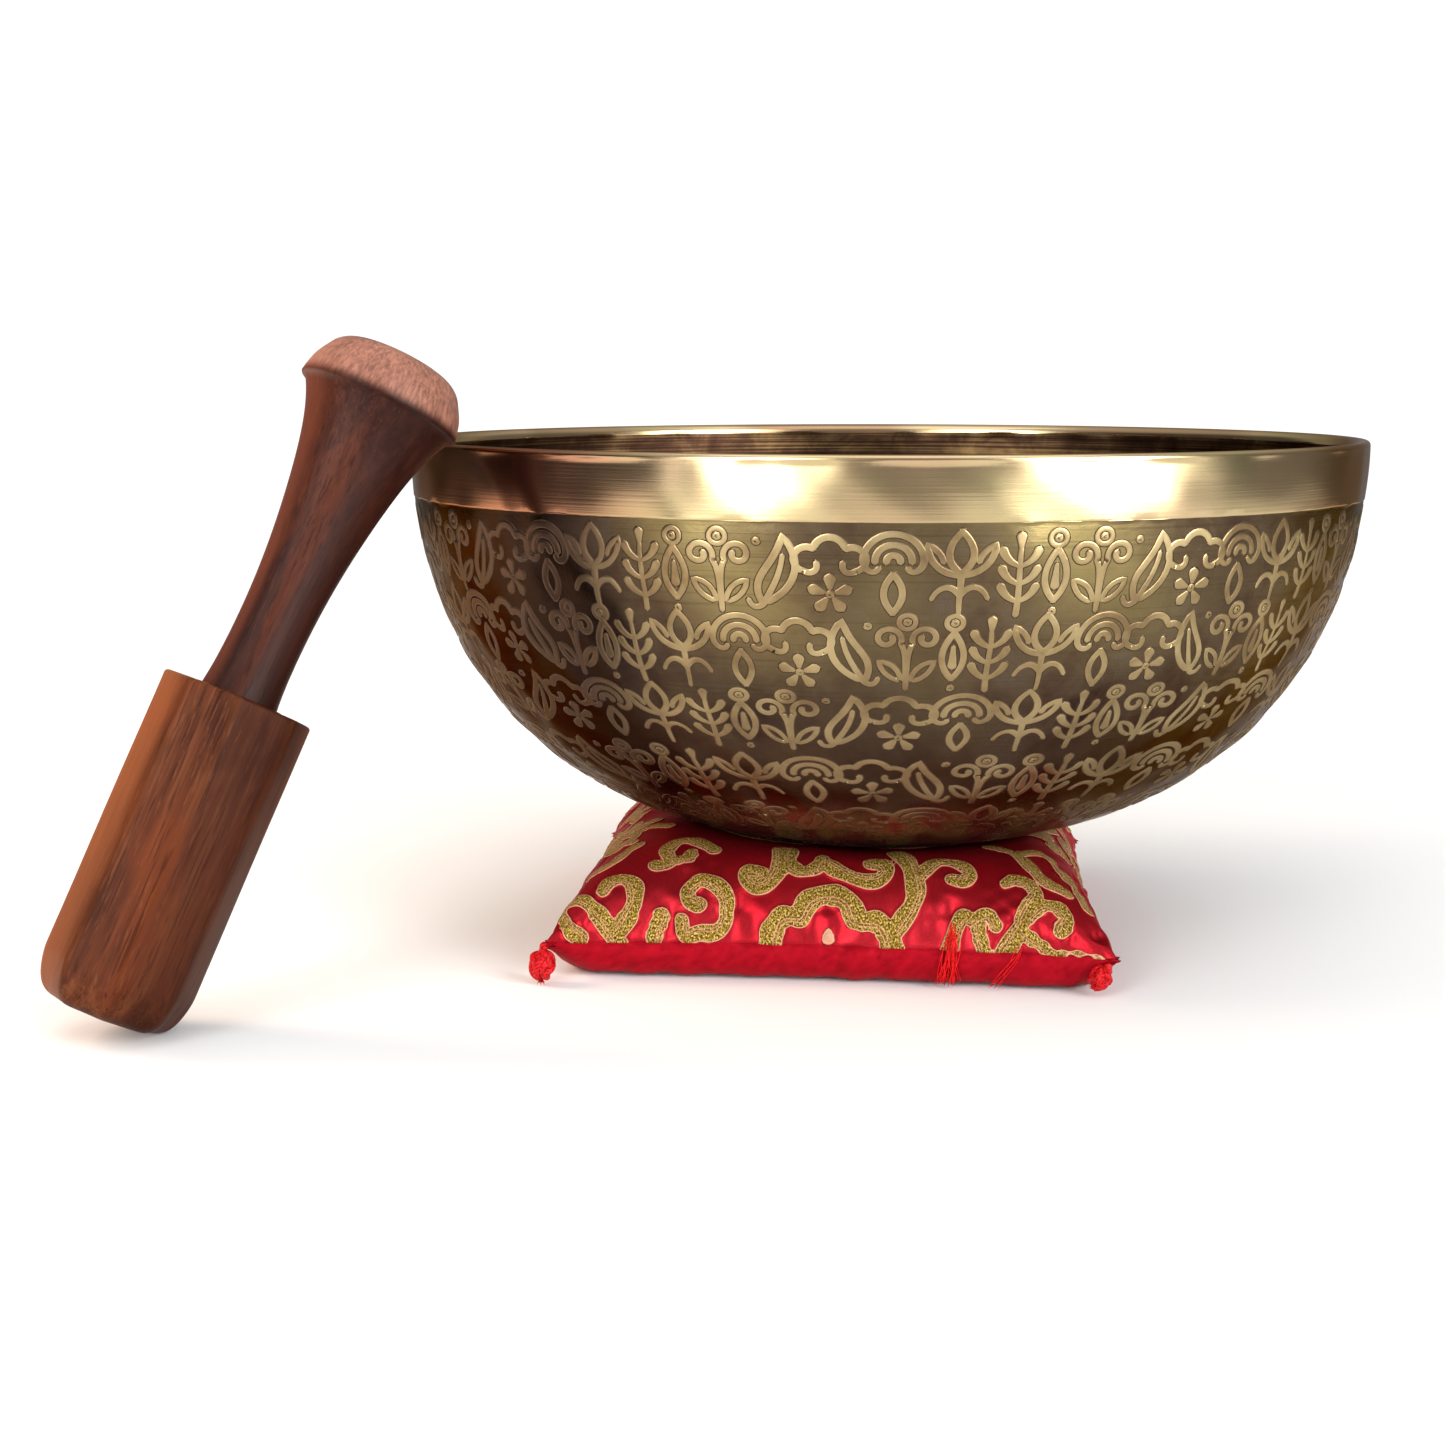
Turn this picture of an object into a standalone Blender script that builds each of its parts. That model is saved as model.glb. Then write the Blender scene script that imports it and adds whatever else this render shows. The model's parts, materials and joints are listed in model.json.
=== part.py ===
"""Singing bowl on a square cushion, with its wooden mallet leaning against the rim.

Metres, +Z up. The origin is on the table under the bowl's axis, and the cushion's sides run along X and Y.
"""
import math

import bmesh
import bpy
from mathutils import Vector

MM = 0.001
MERGE = 0.01 * MM
GAP = 0.3 * MM

# Bowl: the outer wall follows (depth / height)^DEPTH_POWER + (r / radius)^RADIUS_POWER = 1.
BOWL_RADIUS = 140 * MM
BOWL_HEIGHT = 118.5 * MM
BOWL_WALL = 4 * MM
RIM_HEIGHT = 147.5 * MM
RIM_OUTER_ROUND = 1.2 * MM
RIM_INNER_ROUND = 2.6 * MM
DEPTH_POWER = 2.15
RADIUS_POWER = 2.6
BOWL_STEPS = 56
BOWL_RINGS = 12

# Mallet barrel and handle, sizes along and across their own axes.
BARREL_RADIUS = 20 * MM
BARREL_LENGTH = 87 * MM
BARREL_FOOT_ROUND = 8 * MM
BARREL_TOP_ROUND = 0.8 * MM
HANDLE_BEND = math.radians(2.4)
SHOULDER_RADIUS = 10.3 * MM
RECESS_DEPTH = 2 * MM
TENON_RADIUS = 7 * MM
TENON_LENGTH = 26 * MM
RING_RADIUS = 21.2 * MM
RING_POSITION = 83.8 * MM
HEAD_RADIUS = 21.8 * MM
HEAD_TOP = 98.4 * MM
MALLET_STEPS = 28

# Mallet pose: it leans towards the bowl's axis, from this azimuth.
MALLET_LEAN = math.radians(26.4)
MALLET_AZIMUTH = math.radians(216.4)
RIM_CLEARANCE = 0.5 * MM

# Cushion: u and v run from -1 to 1 across its two directions.
CUSHION_CENTRE = Vector((-13 * MM, -3 * MM, 0))
CUSHION_HALF = 77 * MM
CUSHION_PULL = 0.045
CUSHION_CROWN = 23 * MM
CROWN_POWER = 5.0
SEAM_HEIGHT = 11 * MM
SEAM_CORNER_DROP = 1 * MM
BAND_INSET = 3.5 * MM
COVER_THICKNESS = 0.8 * MM
SEAM_OPENING = 1.6 * MM
DENT_GAP = 0.8 * MM
COVER_CELLS = 16
FILLING_SHRINK = 0.87
FILLING_DEPTH = 3.2 * MM
FILLING_FLOOR = 1.4 * MM
FILLING_CUTS = 7

# Corner knots: (end, side, way the knot swings in degrees round Z, tilt from hanging straight down).
# The two at the back are tucked in behind the cushion.
KNOT_RADIUS = 4 * MM
KNOT_NECK = 1.6 * MM
KNOT_LENGTH = 9.6 * MM
KNOT_STEPS = 12
KNOT_CLEARANCE = 1 * MM
KNOT_SWINGS = (
    ("front", "left", -115, 16),
    ("front", "right", -120, 30),
    ("back", "left", 51, 50),
    ("back", "right", 129, 50),
)


def clear_scene():
    for scene_object in list(bpy.data.objects):
        bpy.data.objects.remove(scene_object, do_unlink=True)


def new_collection(name):
    collection = bpy.data.collections.new(name)
    bpy.context.scene.collection.children.link(collection)
    return collection


clear_scene()
PARTS = new_collection("singing_bowl")
CUTTERS = new_collection("cutters")


def make_material(name, colour, roughness, metallic):
    material = bpy.data.materials.new(name)
    material.use_nodes = True
    shader = material.node_tree.nodes["Principled BSDF"]
    shader.inputs["Base Color"].default_value = (*colour, 1)
    shader.inputs["Roughness"].default_value = roughness
    shader.inputs["Metallic"].default_value = metallic
    return material


def add_part(name, mesh, material, collection=PARTS):
    part = bpy.data.objects.new(name, mesh)
    mesh.materials.append(material)
    mesh.shade_smooth()
    mesh.set_sharp_from_angle(angle=math.radians(35))
    collection.objects.link(part)
    return part


def arc(centre_r, centre_z, radius_r, radius_z, start, end, count):
    """Points (r, z) on an elliptical arc, angles in degrees from +r towards +z."""
    points = []
    for index in range(count + 1):
        angle = math.radians(start + (end - start) * index / count)
        points.append((centre_r + radius_r * math.cos(angle), centre_z + radius_z * math.sin(angle)))
    return points


def profile_mesh(name, profile):
    """An open chain of edges in the XZ plane, from points (r, z)."""
    mesh = bpy.data.meshes.new(name)
    shape = bmesh.new()
    verts = [shape.verts.new((r, 0, z)) for r, z in profile]
    for first, second in zip(verts, verts[1:]):
        shape.edges.new((first, second))
    shape.to_mesh(mesh)
    shape.free()
    return mesh


def add_turned(name, profile, steps, material, collection=PARTS):
    part = add_part(name, profile_mesh(name, profile), material, collection)
    screw = part.modifiers.new("turn", "SCREW")
    screw.steps = steps
    screw.render_steps = steps
    screw.use_merge_vertices = True
    screw.merge_threshold = MERGE
    screw.use_smooth_shade = True
    return part


# ---------------------------------------------------------------- bowl

def bowl_wall(inset, angle):
    """Point (r, depth) of the wall, angle 0 at the rim and 90 degrees at the bottom."""
    radius = BOWL_RADIUS - inset
    height = BOWL_HEIGHT - inset
    r = radius * math.cos(angle) ** (2 / RADIUS_POWER)
    depth = height * math.sin(angle) ** (2 / DEPTH_POWER)
    return r, depth


def bowl_outer_height(distance):
    """Height of the bowl's outer surface above the table at a distance from its axis."""
    ratio = min(distance / BOWL_RADIUS, 1)
    depth = BOWL_HEIGHT * (1 - ratio ** RADIUS_POWER) ** (1 / DEPTH_POWER)
    return RIM_HEIGHT - depth


def wall_points(inset, start_angle):
    """The wall from near the rim down to the axis."""
    points = []
    for index in range(BOWL_RINGS + 1):
        angle = start_angle + (math.pi / 2 - start_angle) * index / BOWL_RINGS
        r, depth = bowl_wall(inset, angle)
        points.append((r, RIM_HEIGHT - depth))
    points[-1] = (0, points[-1][1])
    return points


def rim_points():
    """Over the rim, from the inner wall to the outer one."""
    inner_radius = BOWL_RADIUS - BOWL_WALL
    inner = arc(inner_radius + RIM_INNER_ROUND, RIM_HEIGHT - RIM_INNER_ROUND,
                RIM_INNER_ROUND, RIM_INNER_ROUND, 180, 90, 3)
    outer = arc(BOWL_RADIUS - RIM_OUTER_ROUND, RIM_HEIGHT - RIM_OUTER_ROUND,
                RIM_OUTER_ROUND, RIM_OUTER_ROUND, 90, 0, 2)
    return inner + outer


def add_bowl():
    inner = wall_points(BOWL_WALL, math.radians(4))
    outer = wall_points(0, math.radians(4))
    profile = inner[::-1] + rim_points() + outer
    add_turned("bowl", profile, BOWL_STEPS, make_material("bowl_brass", (0.46, 0.33, 0.13), 0.3, 1))


# ---------------------------------------------------------------- mallet

def head_profile():
    """Handle outline (r, distance above the barrel's top), from the ring over the head to the axis."""
    dome = arc(0, HEAD_TOP - 9.5 * MM, HEAD_RADIUS, 9.5 * MM, 8, 52, 4)
    crown = [(8 * MM, HEAD_TOP - 0.5 * MM), (0, HEAD_TOP)]
    return [(RING_RADIUS, RING_POSITION), (HEAD_RADIUS, RING_POSITION + 1.8 * MM)] + dome + crown


def handle_profile():
    """The whole handle from its head down to the end of its tenon."""
    waist = [(17.1 * MM, 75.2 * MM), (14 * MM, 64.7 * MM), (11.5 * MM, 49 * MM), (9.9 * MM, 32 * MM),
             (9.45 * MM, 17.5 * MM), (SHOULDER_RADIUS, 0), (SHOULDER_RADIUS, -RECESS_DEPTH)]
    tenon = [(TENON_RADIUS, -RECESS_DEPTH), (TENON_RADIUS, -TENON_LENGTH + 1 * MM),
             (TENON_RADIUS - 1 * MM, -TENON_LENGTH), (0, -TENON_LENGTH)]
    return head_profile()[::-1] + waist + tenon


def barrel_profile():
    flat_radius = BARREL_RADIUS - BARREL_FOOT_ROUND
    top = arc(BARREL_RADIUS - BARREL_TOP_ROUND, BARREL_LENGTH - BARREL_TOP_ROUND,
              BARREL_TOP_ROUND, BARREL_TOP_ROUND, 90, 0, 2)
    foot = arc(flat_radius, BARREL_FOOT_ROUND, BARREL_FOOT_ROUND, BARREL_FOOT_ROUND, 0, -90, 5)
    return [(0, BARREL_LENGTH)] + top + foot + [(0, 0)]


def socket_profile():
    """The stepped hole for the handle, open above the barrel's top."""
    mouth = 3 * MM
    recess_radius = SHOULDER_RADIUS + GAP
    bore_radius = TENON_RADIUS + GAP
    return [(0, mouth), (recess_radius, mouth), (recess_radius, -RECESS_DEPTH - GAP),
            (bore_radius, -RECESS_DEPTH - GAP), (bore_radius, -TENON_LENGTH - GAP), (0, -TENON_LENGTH - GAP)]


def mallet_reach():
    """How far the leaning head stands nearer to the bowl's axis than the middle of the barrel's end."""
    lean = MALLET_LEAN + HANDLE_BEND
    barrel_reach = BARREL_LENGTH * math.sin(MALLET_LEAN)
    return barrel_reach + max(r * math.cos(lean) + along * math.sin(lean) for r, along in head_profile())


def add_mallet():
    """The mallet's empty is at the middle of the foot's rounding on the bowl's side, on the tipping axis."""
    foot_offset = BARREL_RADIUS - BARREL_FOOT_ROUND
    end_distance = BOWL_RADIUS + RIM_CLEARANCE + mallet_reach()
    pivot_distance = (end_distance - foot_offset * math.cos(MALLET_LEAN)
                      - BARREL_FOOT_ROUND * math.sin(MALLET_LEAN))
    pivot = bpy.data.objects.new("mallet_tip_axis", None)
    pivot.location = (pivot_distance * math.cos(MALLET_AZIMUTH), pivot_distance * math.sin(MALLET_AZIMUTH),
                      BARREL_FOOT_ROUND)
    pivot.rotation_euler = (0, -MALLET_LEAN, MALLET_AZIMUTH)
    PARTS.objects.link(pivot)

    barrel_wood = make_material("barrel_rosewood", (0.23, 0.075, 0.035), 0.45, 0)
    barrel = add_turned("mallet_barrel", barrel_profile(), MALLET_STEPS, barrel_wood)
    handle_wood = make_material("handle_rosewood", (0.17, 0.05, 0.03), 0.4, 0)
    handle = add_turned("mallet_handle", handle_profile(), MALLET_STEPS, handle_wood)
    socket = add_turned("handle_socket", socket_profile(), MALLET_STEPS, barrel_wood, CUTTERS)
    socket.hide_render = True
    socket.display_type = "WIRE"

    barrel.parent = pivot
    barrel.location = (foot_offset, 0, -BARREL_FOOT_ROUND)
    for bored in (handle, socket):
        bored.parent = pivot
        bored.location = (foot_offset, 0, BARREL_LENGTH - BARREL_FOOT_ROUND)
        bored.rotation_euler = (0, -HANDLE_BEND, 0)
    cut = barrel.modifiers.new("socket", "BOOLEAN")
    cut.operation = "DIFFERENCE"
    cut.solver = "EXACT"
    cut.object = socket


# ---------------------------------------------------------------- cushion

def bulge(t):
    return (1 - min(abs(t), 1) ** CROWN_POWER) ** 0.5


def outline_point(u, v, inset=0.0):
    half = CUSHION_HALF - inset
    x = CUSHION_CENTRE.x + half * u * (1 - CUSHION_PULL * (1 - v * v))
    y = CUSHION_CENTRE.y + half * v * (1 - CUSHION_PULL * (1 - u * u))
    return x, y


def seam_height(u, v):
    return SEAM_HEIGHT - SEAM_CORNER_DROP * (u * v) ** 4


def top_height(u, v):
    """The cushion's crowned top, pressed down where the bowl sits."""
    x, y = outline_point(u, v)
    crown = seam_height(u, v) + CUSHION_CROWN * bulge(u) * bulge(v)
    return min(crown, bowl_outer_height(math.hypot(x, y)) - DENT_GAP)


def even_station(t):
    """Grid position with rows closer together near the edges."""
    return math.sin(math.radians(72) * t) / math.sin(math.radians(72))


def grid_mesh(name, cells, place):
    """A square grid whose points (s, t), each from -1 to 1, are placed by a function."""
    mesh = bpy.data.meshes.new(name)
    shape = bmesh.new()
    bmesh.ops.create_grid(shape, x_segments=cells, y_segments=cells, size=1)
    for vert in shape.verts:
        vert.co = place(vert.co.x, vert.co.y)
    shape.to_mesh(mesh)
    shape.free()
    return mesh


def add_skin(name, place, offset, material):
    """A grid given thickness inwards from the placed surface."""
    skin = add_part(name, grid_mesh(name, COVER_CELLS, place), material)
    solidify = skin.modifiers.new("cloth", "SOLIDIFY")
    solidify.thickness = COVER_THICKNESS
    solidify.offset = offset
    return skin


def brocade_point(s, t):
    u = even_station(s)
    v = even_station(t)
    x, y = outline_point(u, v)
    return Vector((x, y, top_height(u, v)))


def base_point(s, t):
    """Flat on the table, with the outermost row of cells turned up to the seam."""
    inner = 1 - 2 / COVER_CELLS
    steps_out = max(abs(s), abs(t))
    rise = max(0, (steps_out - inner) / (1 - inner))
    u = even_station(s)
    v = even_station(t)
    x, y = outline_point(u, v, BAND_INSET * (1 - rise))
    return Vector((x, y, rise * (seam_height(u, v) - SEAM_OPENING)))


def filling_mesh(name):
    """A cushion block inside the covers."""
    mesh = bpy.data.meshes.new(name)
    shape = bmesh.new()
    bmesh.ops.create_cube(shape, size=2)
    bmesh.ops.subdivide_edges(shape, edges=shape.edges[:], cuts=FILLING_CUTS, use_grid_fill=True)
    for vert in shape.verts:
        u = FILLING_SHRINK * even_station(vert.co.x)
        v = FILLING_SHRINK * even_station(vert.co.y)
        x, y = outline_point(u, v)
        top = top_height(u, v) - FILLING_DEPTH
        vert.co = (x, y, FILLING_FLOOR + (top - FILLING_FLOOR) * (vert.co.z + 1) / 2)
    shape.to_mesh(mesh)
    shape.free()
    return mesh


def add_cushion():
    red = make_material("brocade_red", (0.42, 0.012, 0.02), 0.35, 0)
    satin = make_material("satin_red", (0.5, 0.01, 0.02), 0.4, 0)
    wadding = make_material("wadding", (0.8, 0.77, 0.7), 0.9, 0)
    add_skin("cushion_brocade_cover", brocade_point, -1, red)
    add_skin("cushion_base_cover", base_point, 1, satin)
    add_part("cushion_filling", filling_mesh("cushion_filling"), wadding)


def add_corner_knots():
    """One knot beyond each corner, hanging to the table."""
    cord = make_material("knot_cord", (0.6, 0.015, 0.02), 0.6, 0)
    ball = arc(0, -KNOT_LENGTH / 2, KNOT_RADIUS, KNOT_LENGTH * 0.4, 68, -68, 6)
    profile = [(0, 0), (KNOT_NECK, 0)] + ball + [(0, -KNOT_LENGTH)]
    for end_name, side_name, swing, tilt in KNOT_SWINGS:
        u = -1 if side_name == "left" else 1
        v = -1 if end_name == "front" else 1
        knot = add_turned(f"corner_knot_{end_name}_{side_name}", profile, KNOT_STEPS, cord)
        x, y = outline_point(u, v)
        knot.location = (x + KNOT_CLEARANCE * u, y + KNOT_CLEARANCE * v, seam_height(u, v))
        knot.rotation_euler = (0, -math.radians(tilt), math.radians(swing))


add_bowl()
add_mallet()
add_cushion()
add_corner_knots()
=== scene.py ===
import json
import math

import bpy
import numpy as np
from mathutils import Matrix, Vector


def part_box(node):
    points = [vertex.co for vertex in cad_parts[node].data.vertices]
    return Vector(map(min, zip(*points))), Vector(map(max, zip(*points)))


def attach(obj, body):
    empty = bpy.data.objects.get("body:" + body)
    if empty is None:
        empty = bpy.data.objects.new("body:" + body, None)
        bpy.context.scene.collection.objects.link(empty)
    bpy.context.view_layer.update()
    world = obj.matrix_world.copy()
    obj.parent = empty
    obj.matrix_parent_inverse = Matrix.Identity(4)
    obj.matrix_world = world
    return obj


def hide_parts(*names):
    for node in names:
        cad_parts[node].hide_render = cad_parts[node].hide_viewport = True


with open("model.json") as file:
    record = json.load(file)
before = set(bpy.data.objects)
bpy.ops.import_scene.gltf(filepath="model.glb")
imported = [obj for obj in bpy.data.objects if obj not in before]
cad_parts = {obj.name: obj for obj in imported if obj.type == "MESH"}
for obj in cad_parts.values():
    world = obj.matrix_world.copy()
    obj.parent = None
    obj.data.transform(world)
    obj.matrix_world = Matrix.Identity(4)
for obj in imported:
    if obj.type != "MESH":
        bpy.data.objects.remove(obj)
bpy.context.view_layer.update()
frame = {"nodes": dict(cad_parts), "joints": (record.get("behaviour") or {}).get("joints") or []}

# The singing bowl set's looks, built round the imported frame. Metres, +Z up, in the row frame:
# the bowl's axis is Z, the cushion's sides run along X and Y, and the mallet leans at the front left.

MM = 0.001

# ---------------------------------------------------------------- sizes

BOWL_LOW, BOWL_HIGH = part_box("bowl")
BOWL_RADIUS = BOWL_HIGH.x
RIM_HEIGHT = BOWL_HIGH.z
BOWL_HEIGHT = BOWL_HIGH.z - BOWL_LOW.z
BOWL_WALL = 4 * MM
# The bowl's section: (radius / BOWL_RADIUS) ** RADIUS_POWER + (depth / BOWL_HEIGHT) ** DEPTH_POWER = 1.
DEPTH_POWER = 2.15
RADIUS_POWER = 2.6

BARREL_RADIUS = 20 * MM
BARREL_LENGTH = 87 * MM
FOOT_ROUND = 8 * MM
FOOT_TAPER = 4 * MM
HANDLE_BEND = math.radians(2.4)
RING_POSITION = 83.8 * MM
HEAD_RADIUS = 21.7 * MM
HEAD_TOP = 98.3 * MM


# ---------------------------------------------------------------- node tree helpers

def set_all(holder, values):
    for name, value in values.items():
        setattr(holder, name, value)


class Nodes:
    """Short calls that add nodes to a node tree."""

    def __init__(self, tree):
        self.tree = tree

    def node(self, kind, *inputs, **settings):
        """A node with its settings made and its inputs set or linked in order."""
        made = self.tree.nodes.new("ShaderNode" + kind)
        set_all(made, settings)
        for socket, value in zip(made.inputs, inputs):
            self.feed(socket, value)
        return made

    def feed(self, socket, value):
        if value is None:
            return
        if isinstance(value, bpy.types.NodeSocket):
            self.tree.links.new(value, socket)
        elif isinstance(value, tuple) and len(value) == 3 and socket.type == "RGBA":
            socket.default_value = (*value, 1)
        else:
            socket.default_value = value

    def math(self, operation, *values, clamp=False):
        return self.node("Math", *values, operation=operation, use_clamp=clamp).outputs[0]

    def times(self, first, second, clamp=False):
        return self.math("MULTIPLY", first, second, clamp=clamp)

    def minus(self, first, second):
        return self.math("SUBTRACT", first, second)

    def step(self, value, low, high):
        """0 below low, 1 above high, smooth between."""
        made = self.node("MapRange", value, low, high, 0.0, 1.0, interpolation_type="SMOOTHSTEP")
        return made.outputs[0]


class Shade(Nodes):
    """A new material, its nodes built round its Principled shader."""

    def __init__(self, name):
        self.material = bpy.data.materials.new(name)
        self.material.use_nodes = True
        super().__init__(self.material.node_tree)
        self.shader = self.tree.nodes["Principled BSDF"]
        self.place = self.node("TexCoord").outputs["Object"]

    def noise(self, scale, stretch=(1, 1, 1), detail=4.0, roughness=0.5, distortion=0.0, place=None,
              turn=None):
        """Noise with its coordinates scaled along each axis and turned, so it can run in one direction."""
        where = self.place if place is None else place
        made = self.node("TexNoise", self.node("Mapping", where, None, turn, stretch).outputs[0])
        made.inputs["Scale"].default_value = scale
        made.inputs["Detail"].default_value = detail
        made.inputs["Roughness"].default_value = roughness
        made.inputs["Distortion"].default_value = distortion
        return made.outputs[0]

    def span(self, value, low, high):
        """A 0 to 1 value moved to the range low to high."""
        return self.node("MapRange", value, 0.0, 1.0, low, high).outputs[0]

    def mix(self, factor, first, second):
        made = self.node("Mix", factor, data_type="RGBA")
        self.feed(made.inputs[6], first)
        self.feed(made.inputs[7], second)
        return made.outputs[2]

    def tinted(self, colour, over, value, low, high, share):
        """A colour mixed with another by up to a share, as a value goes from low to high."""
        return self.mix(self.times(self.step(value, low, high), share), colour, over)

    def ramp(self, value, *stops):
        made = self.node("ValToRGB", value)
        ramp = made.color_ramp
        while len(ramp.elements) < len(stops):
            ramp.elements.new(0.5)
        for element, (position, colour) in zip(ramp.elements, stops):
            element.position = position
            element.color = (*colour, 1)
        return made.outputs[0]

    def stored(self, name):
        """A number kept at each vertex."""
        return self.node("Attribute", attribute_name=name).outputs["Fac"]

    def bump(self, height, distance, under=None):
        made = self.node("Bump")
        made.inputs["Distance"].default_value = distance
        self.feed(made.inputs["Height"], height)
        self.feed(made.inputs["Normal"], under)
        return made.outputs[0]

    def finish(self, **values):
        for key, value in values.items():
            self.feed(self.shader.inputs[key.replace("_", " ")], value)
        return self.material


# ---------------------------------------------------------------- mesh helpers

def mesh_object(name, vertices, faces, materials, face_material=None):
    mesh = bpy.data.meshes.new(name)
    mesh.from_pydata(np.asarray(vertices).tolist(), [], faces)
    for material in materials:
        mesh.materials.append(material)
    if face_material is not None:
        mesh.polygons.foreach_set("material_index", face_material)
    mesh.polygons.foreach_set("use_smooth", [True] * len(mesh.polygons))
    mesh.update()
    made = bpy.data.objects.new(name, mesh)
    bpy.context.scene.collection.objects.link(made)
    return made


def vertex_places(mesh):
    places = np.empty(len(mesh.vertices) * 3)
    mesh.vertices.foreach_get("co", places)
    return places.reshape(-1, 3)


def store(piece, name, values):
    attribute = piece.data.attributes.new(name, "FLOAT", "POINT")
    attribute.data.foreach_set("value", np.asarray(values, dtype=np.float32).ravel())


def round_turn(count):
    """Angles at equal steps once round."""
    return np.arange(count) * 2 * math.pi / count


def polar(radius, turn, height):
    """Points from their distance from the Z axis, their angle round it and their height."""
    return np.stack(np.broadcast_arrays(radius * np.cos(turn), radius * np.sin(turn), height), axis=-1)


def arc(centre_r, centre_z, radius, start, end, count):
    """(radius, height) points round an arc, angles in degrees."""
    angle = np.radians(np.linspace(start, end, count))
    return list(zip(centre_r + radius * np.cos(angle), centre_z + radius * np.sin(angle)))


def turn_between(turn, centre):
    """How far an angle is round from another one, from -180 to 180 degrees."""
    return (turn - centre + 180) % 360 - 180


def ring_faces(rows, columns, first=0):
    """Quads of a grid of rows whose columns close on themselves."""
    row, column = np.meshgrid(np.arange(rows - 1), np.arange(columns), indexing="ij")
    after = (column + 1) % columns
    quads = np.stack([row * columns + column, row * columns + after,
                      (row + 1) * columns + after, (row + 1) * columns + column], axis=-1)
    return quads.reshape(-1, 4) + first


def lathe_mesh(rings, start, end):
    """Vertices and faces of a closed round piece: rings of points between two points on its axis."""
    rows, columns = rings.shape[:2]
    count = rows * columns
    vertices = np.concatenate([rings.reshape(-1, 3), [start, end]])
    faces = ring_faces(rows, columns)[:, ::-1].tolist()
    last = count - columns
    for column in range(columns):
        after = (column + 1) % columns
        faces.append([count, column, after])
        faces.append([count + 1, last + after, last + column])
    return vertices, faces


class Ripple:
    """A seeded smooth random field over space: a sum of waves with lengths between two limits."""

    def __init__(self, seed, shortest, longest, count=28):
        draw = np.random.default_rng(seed)
        direction = draw.normal(size=(count, 3))
        direction /= np.linalg.norm(direction, axis=1)[:, None]
        length = shortest * (longest / shortest) ** draw.random(count)
        self.waves = direction * (2 * math.pi / length)[:, None]
        self.phases = draw.random(count) * 2 * math.pi
        self.scale = (2 / count) ** 0.5

    def at(self, points):
        total = np.zeros(points.shape[:-1])
        for wave, phase in zip(self.waves, self.phases):
            total += np.cos(points @ wave + phase)
        return total * self.scale


# ---------------------------------------------------------------- bowl wall

WALL_SAMPLES = 3000
BAND_WIDTH = 16.3 * MM
ETCH_DEPTH = 0.22 * MM
HAMMER = Ripple(11, 13 * MM, 34 * MM)
HAMMER_DEPTH = 0.17 * MM
# How far the hammered wall is sunk on average, over the depth of its marks.
HAMMER_SINK = 1.2


class Wall:
    """One surface of the bowl, measured by the distance down it from the rim."""

    def __init__(self, inset):
        angle = np.linspace(0.003, math.pi / 2, WALL_SAMPLES)
        self.radius = (BOWL_RADIUS - inset) * np.cos(angle) ** (2 / RADIUS_POWER)
        self.radius[-1] = 0
        self.height = RIM_HEIGHT - (BOWL_HEIGHT - inset) * np.sin(angle) ** (2 / DEPTH_POWER)
        step = np.hypot(np.diff(self.radius), np.diff(self.height))
        self.down = np.concatenate([[0], np.cumsum(step)]) + RIM_HEIGHT - self.height[0]
        slope_r = np.gradient(self.radius, self.down)
        slope_z = np.gradient(self.height, self.down)
        length = np.hypot(slope_r, slope_z)
        self.normal_r = -slope_z / length
        self.normal_z = slope_r / length
        self.length = self.down[-1]

    def place(self, turn, down, lift):
        """Points at an angle round the bowl and a distance down the wall, lifted off it."""
        radius, height, out_r, out_z = (np.interp(down, self.down, values) for values in (
            self.radius, self.height, self.normal_r, self.normal_z))
        flat = polar(radius, turn, height)
        return flat + polar(out_r, turn, out_z) * (hammered(flat, down) + lift)[..., None]


def smooth_step(value, low, high):
    t = np.clip((value - low) / (high - low), 0, 1)
    return t * t * (3 - 2 * t)


def hammered(points, down):
    """Hammer marks, fainter on the polished band, with the etched part cut back below the band."""
    fade = 0.5 + 0.5 * smooth_step(down, BAND_WIDTH - 2 * MM, BAND_WIDTH + 14 * MM)
    edge = BAND_WIDTH + 0.12 * MM * HAMMER.at(points * 3)
    cut = smooth_step(down, edge - 0.15 * MM, edge + 0.15 * MM)
    return HAMMER_DEPTH * fade * (HAMMER.at(points) - HAMMER_SINK) - ETCH_DEPTH * cut


OUTER = Wall(0)
INNER = Wall(BOWL_WALL)
BOWL_COLUMNS = 400
# Brighter patches, rubbing wear round the bowl and painted highlight on its front half below the window
# reflections: angle round the bowl, half width in degrees, reach down the wall, strength.
RUBBED_AND_LIT = (
    (253, 7, 75 * MM, 0.6),
    (291, 8, 62 * MM, 0.8),
    (276, 5, 95 * MM, 0.25),
    (330, 9, 70 * MM, 0.45),
    (20, 8, 80 * MM, 0.5),
    (75, 10, 60 * MM, 0.6),
    (118, 6, 90 * MM, 0.5),
    (160, 9, 70 * MM, 0.55),
    (205, 7, 66 * MM, 0.35),
)
# Darker stretches, tarnished brass round the bowl and painted shade on its left and right sides: angle round
# the bowl, half width in degrees, strength.
TARNISHED_AND_SHADED = (
    (208, 44, 0.95),
    (272, 8, 0.2),
    (346, 26, 0.65),
    (48, 20, 0.5),
    (100, 16, 0.6),
    (140, 12, 0.4),
)
RIM_ROUND_OUTER = 1.3 * MM
RIM_ROUND_INNER = 2.7 * MM


def rim_profile():
    """(radius, height) points over the rim, from the inner side to the outer one."""
    inner = arc(BOWL_RADIUS - BOWL_WALL + RIM_ROUND_INNER, RIM_HEIGHT - RIM_ROUND_INNER,
                RIM_ROUND_INNER, 180, 90, 7)
    outer = arc(BOWL_RADIUS - RIM_ROUND_OUTER, RIM_HEIGHT - RIM_ROUND_OUTER, RIM_ROUND_OUTER, 90, 0, 7)
    return inner + outer


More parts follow.
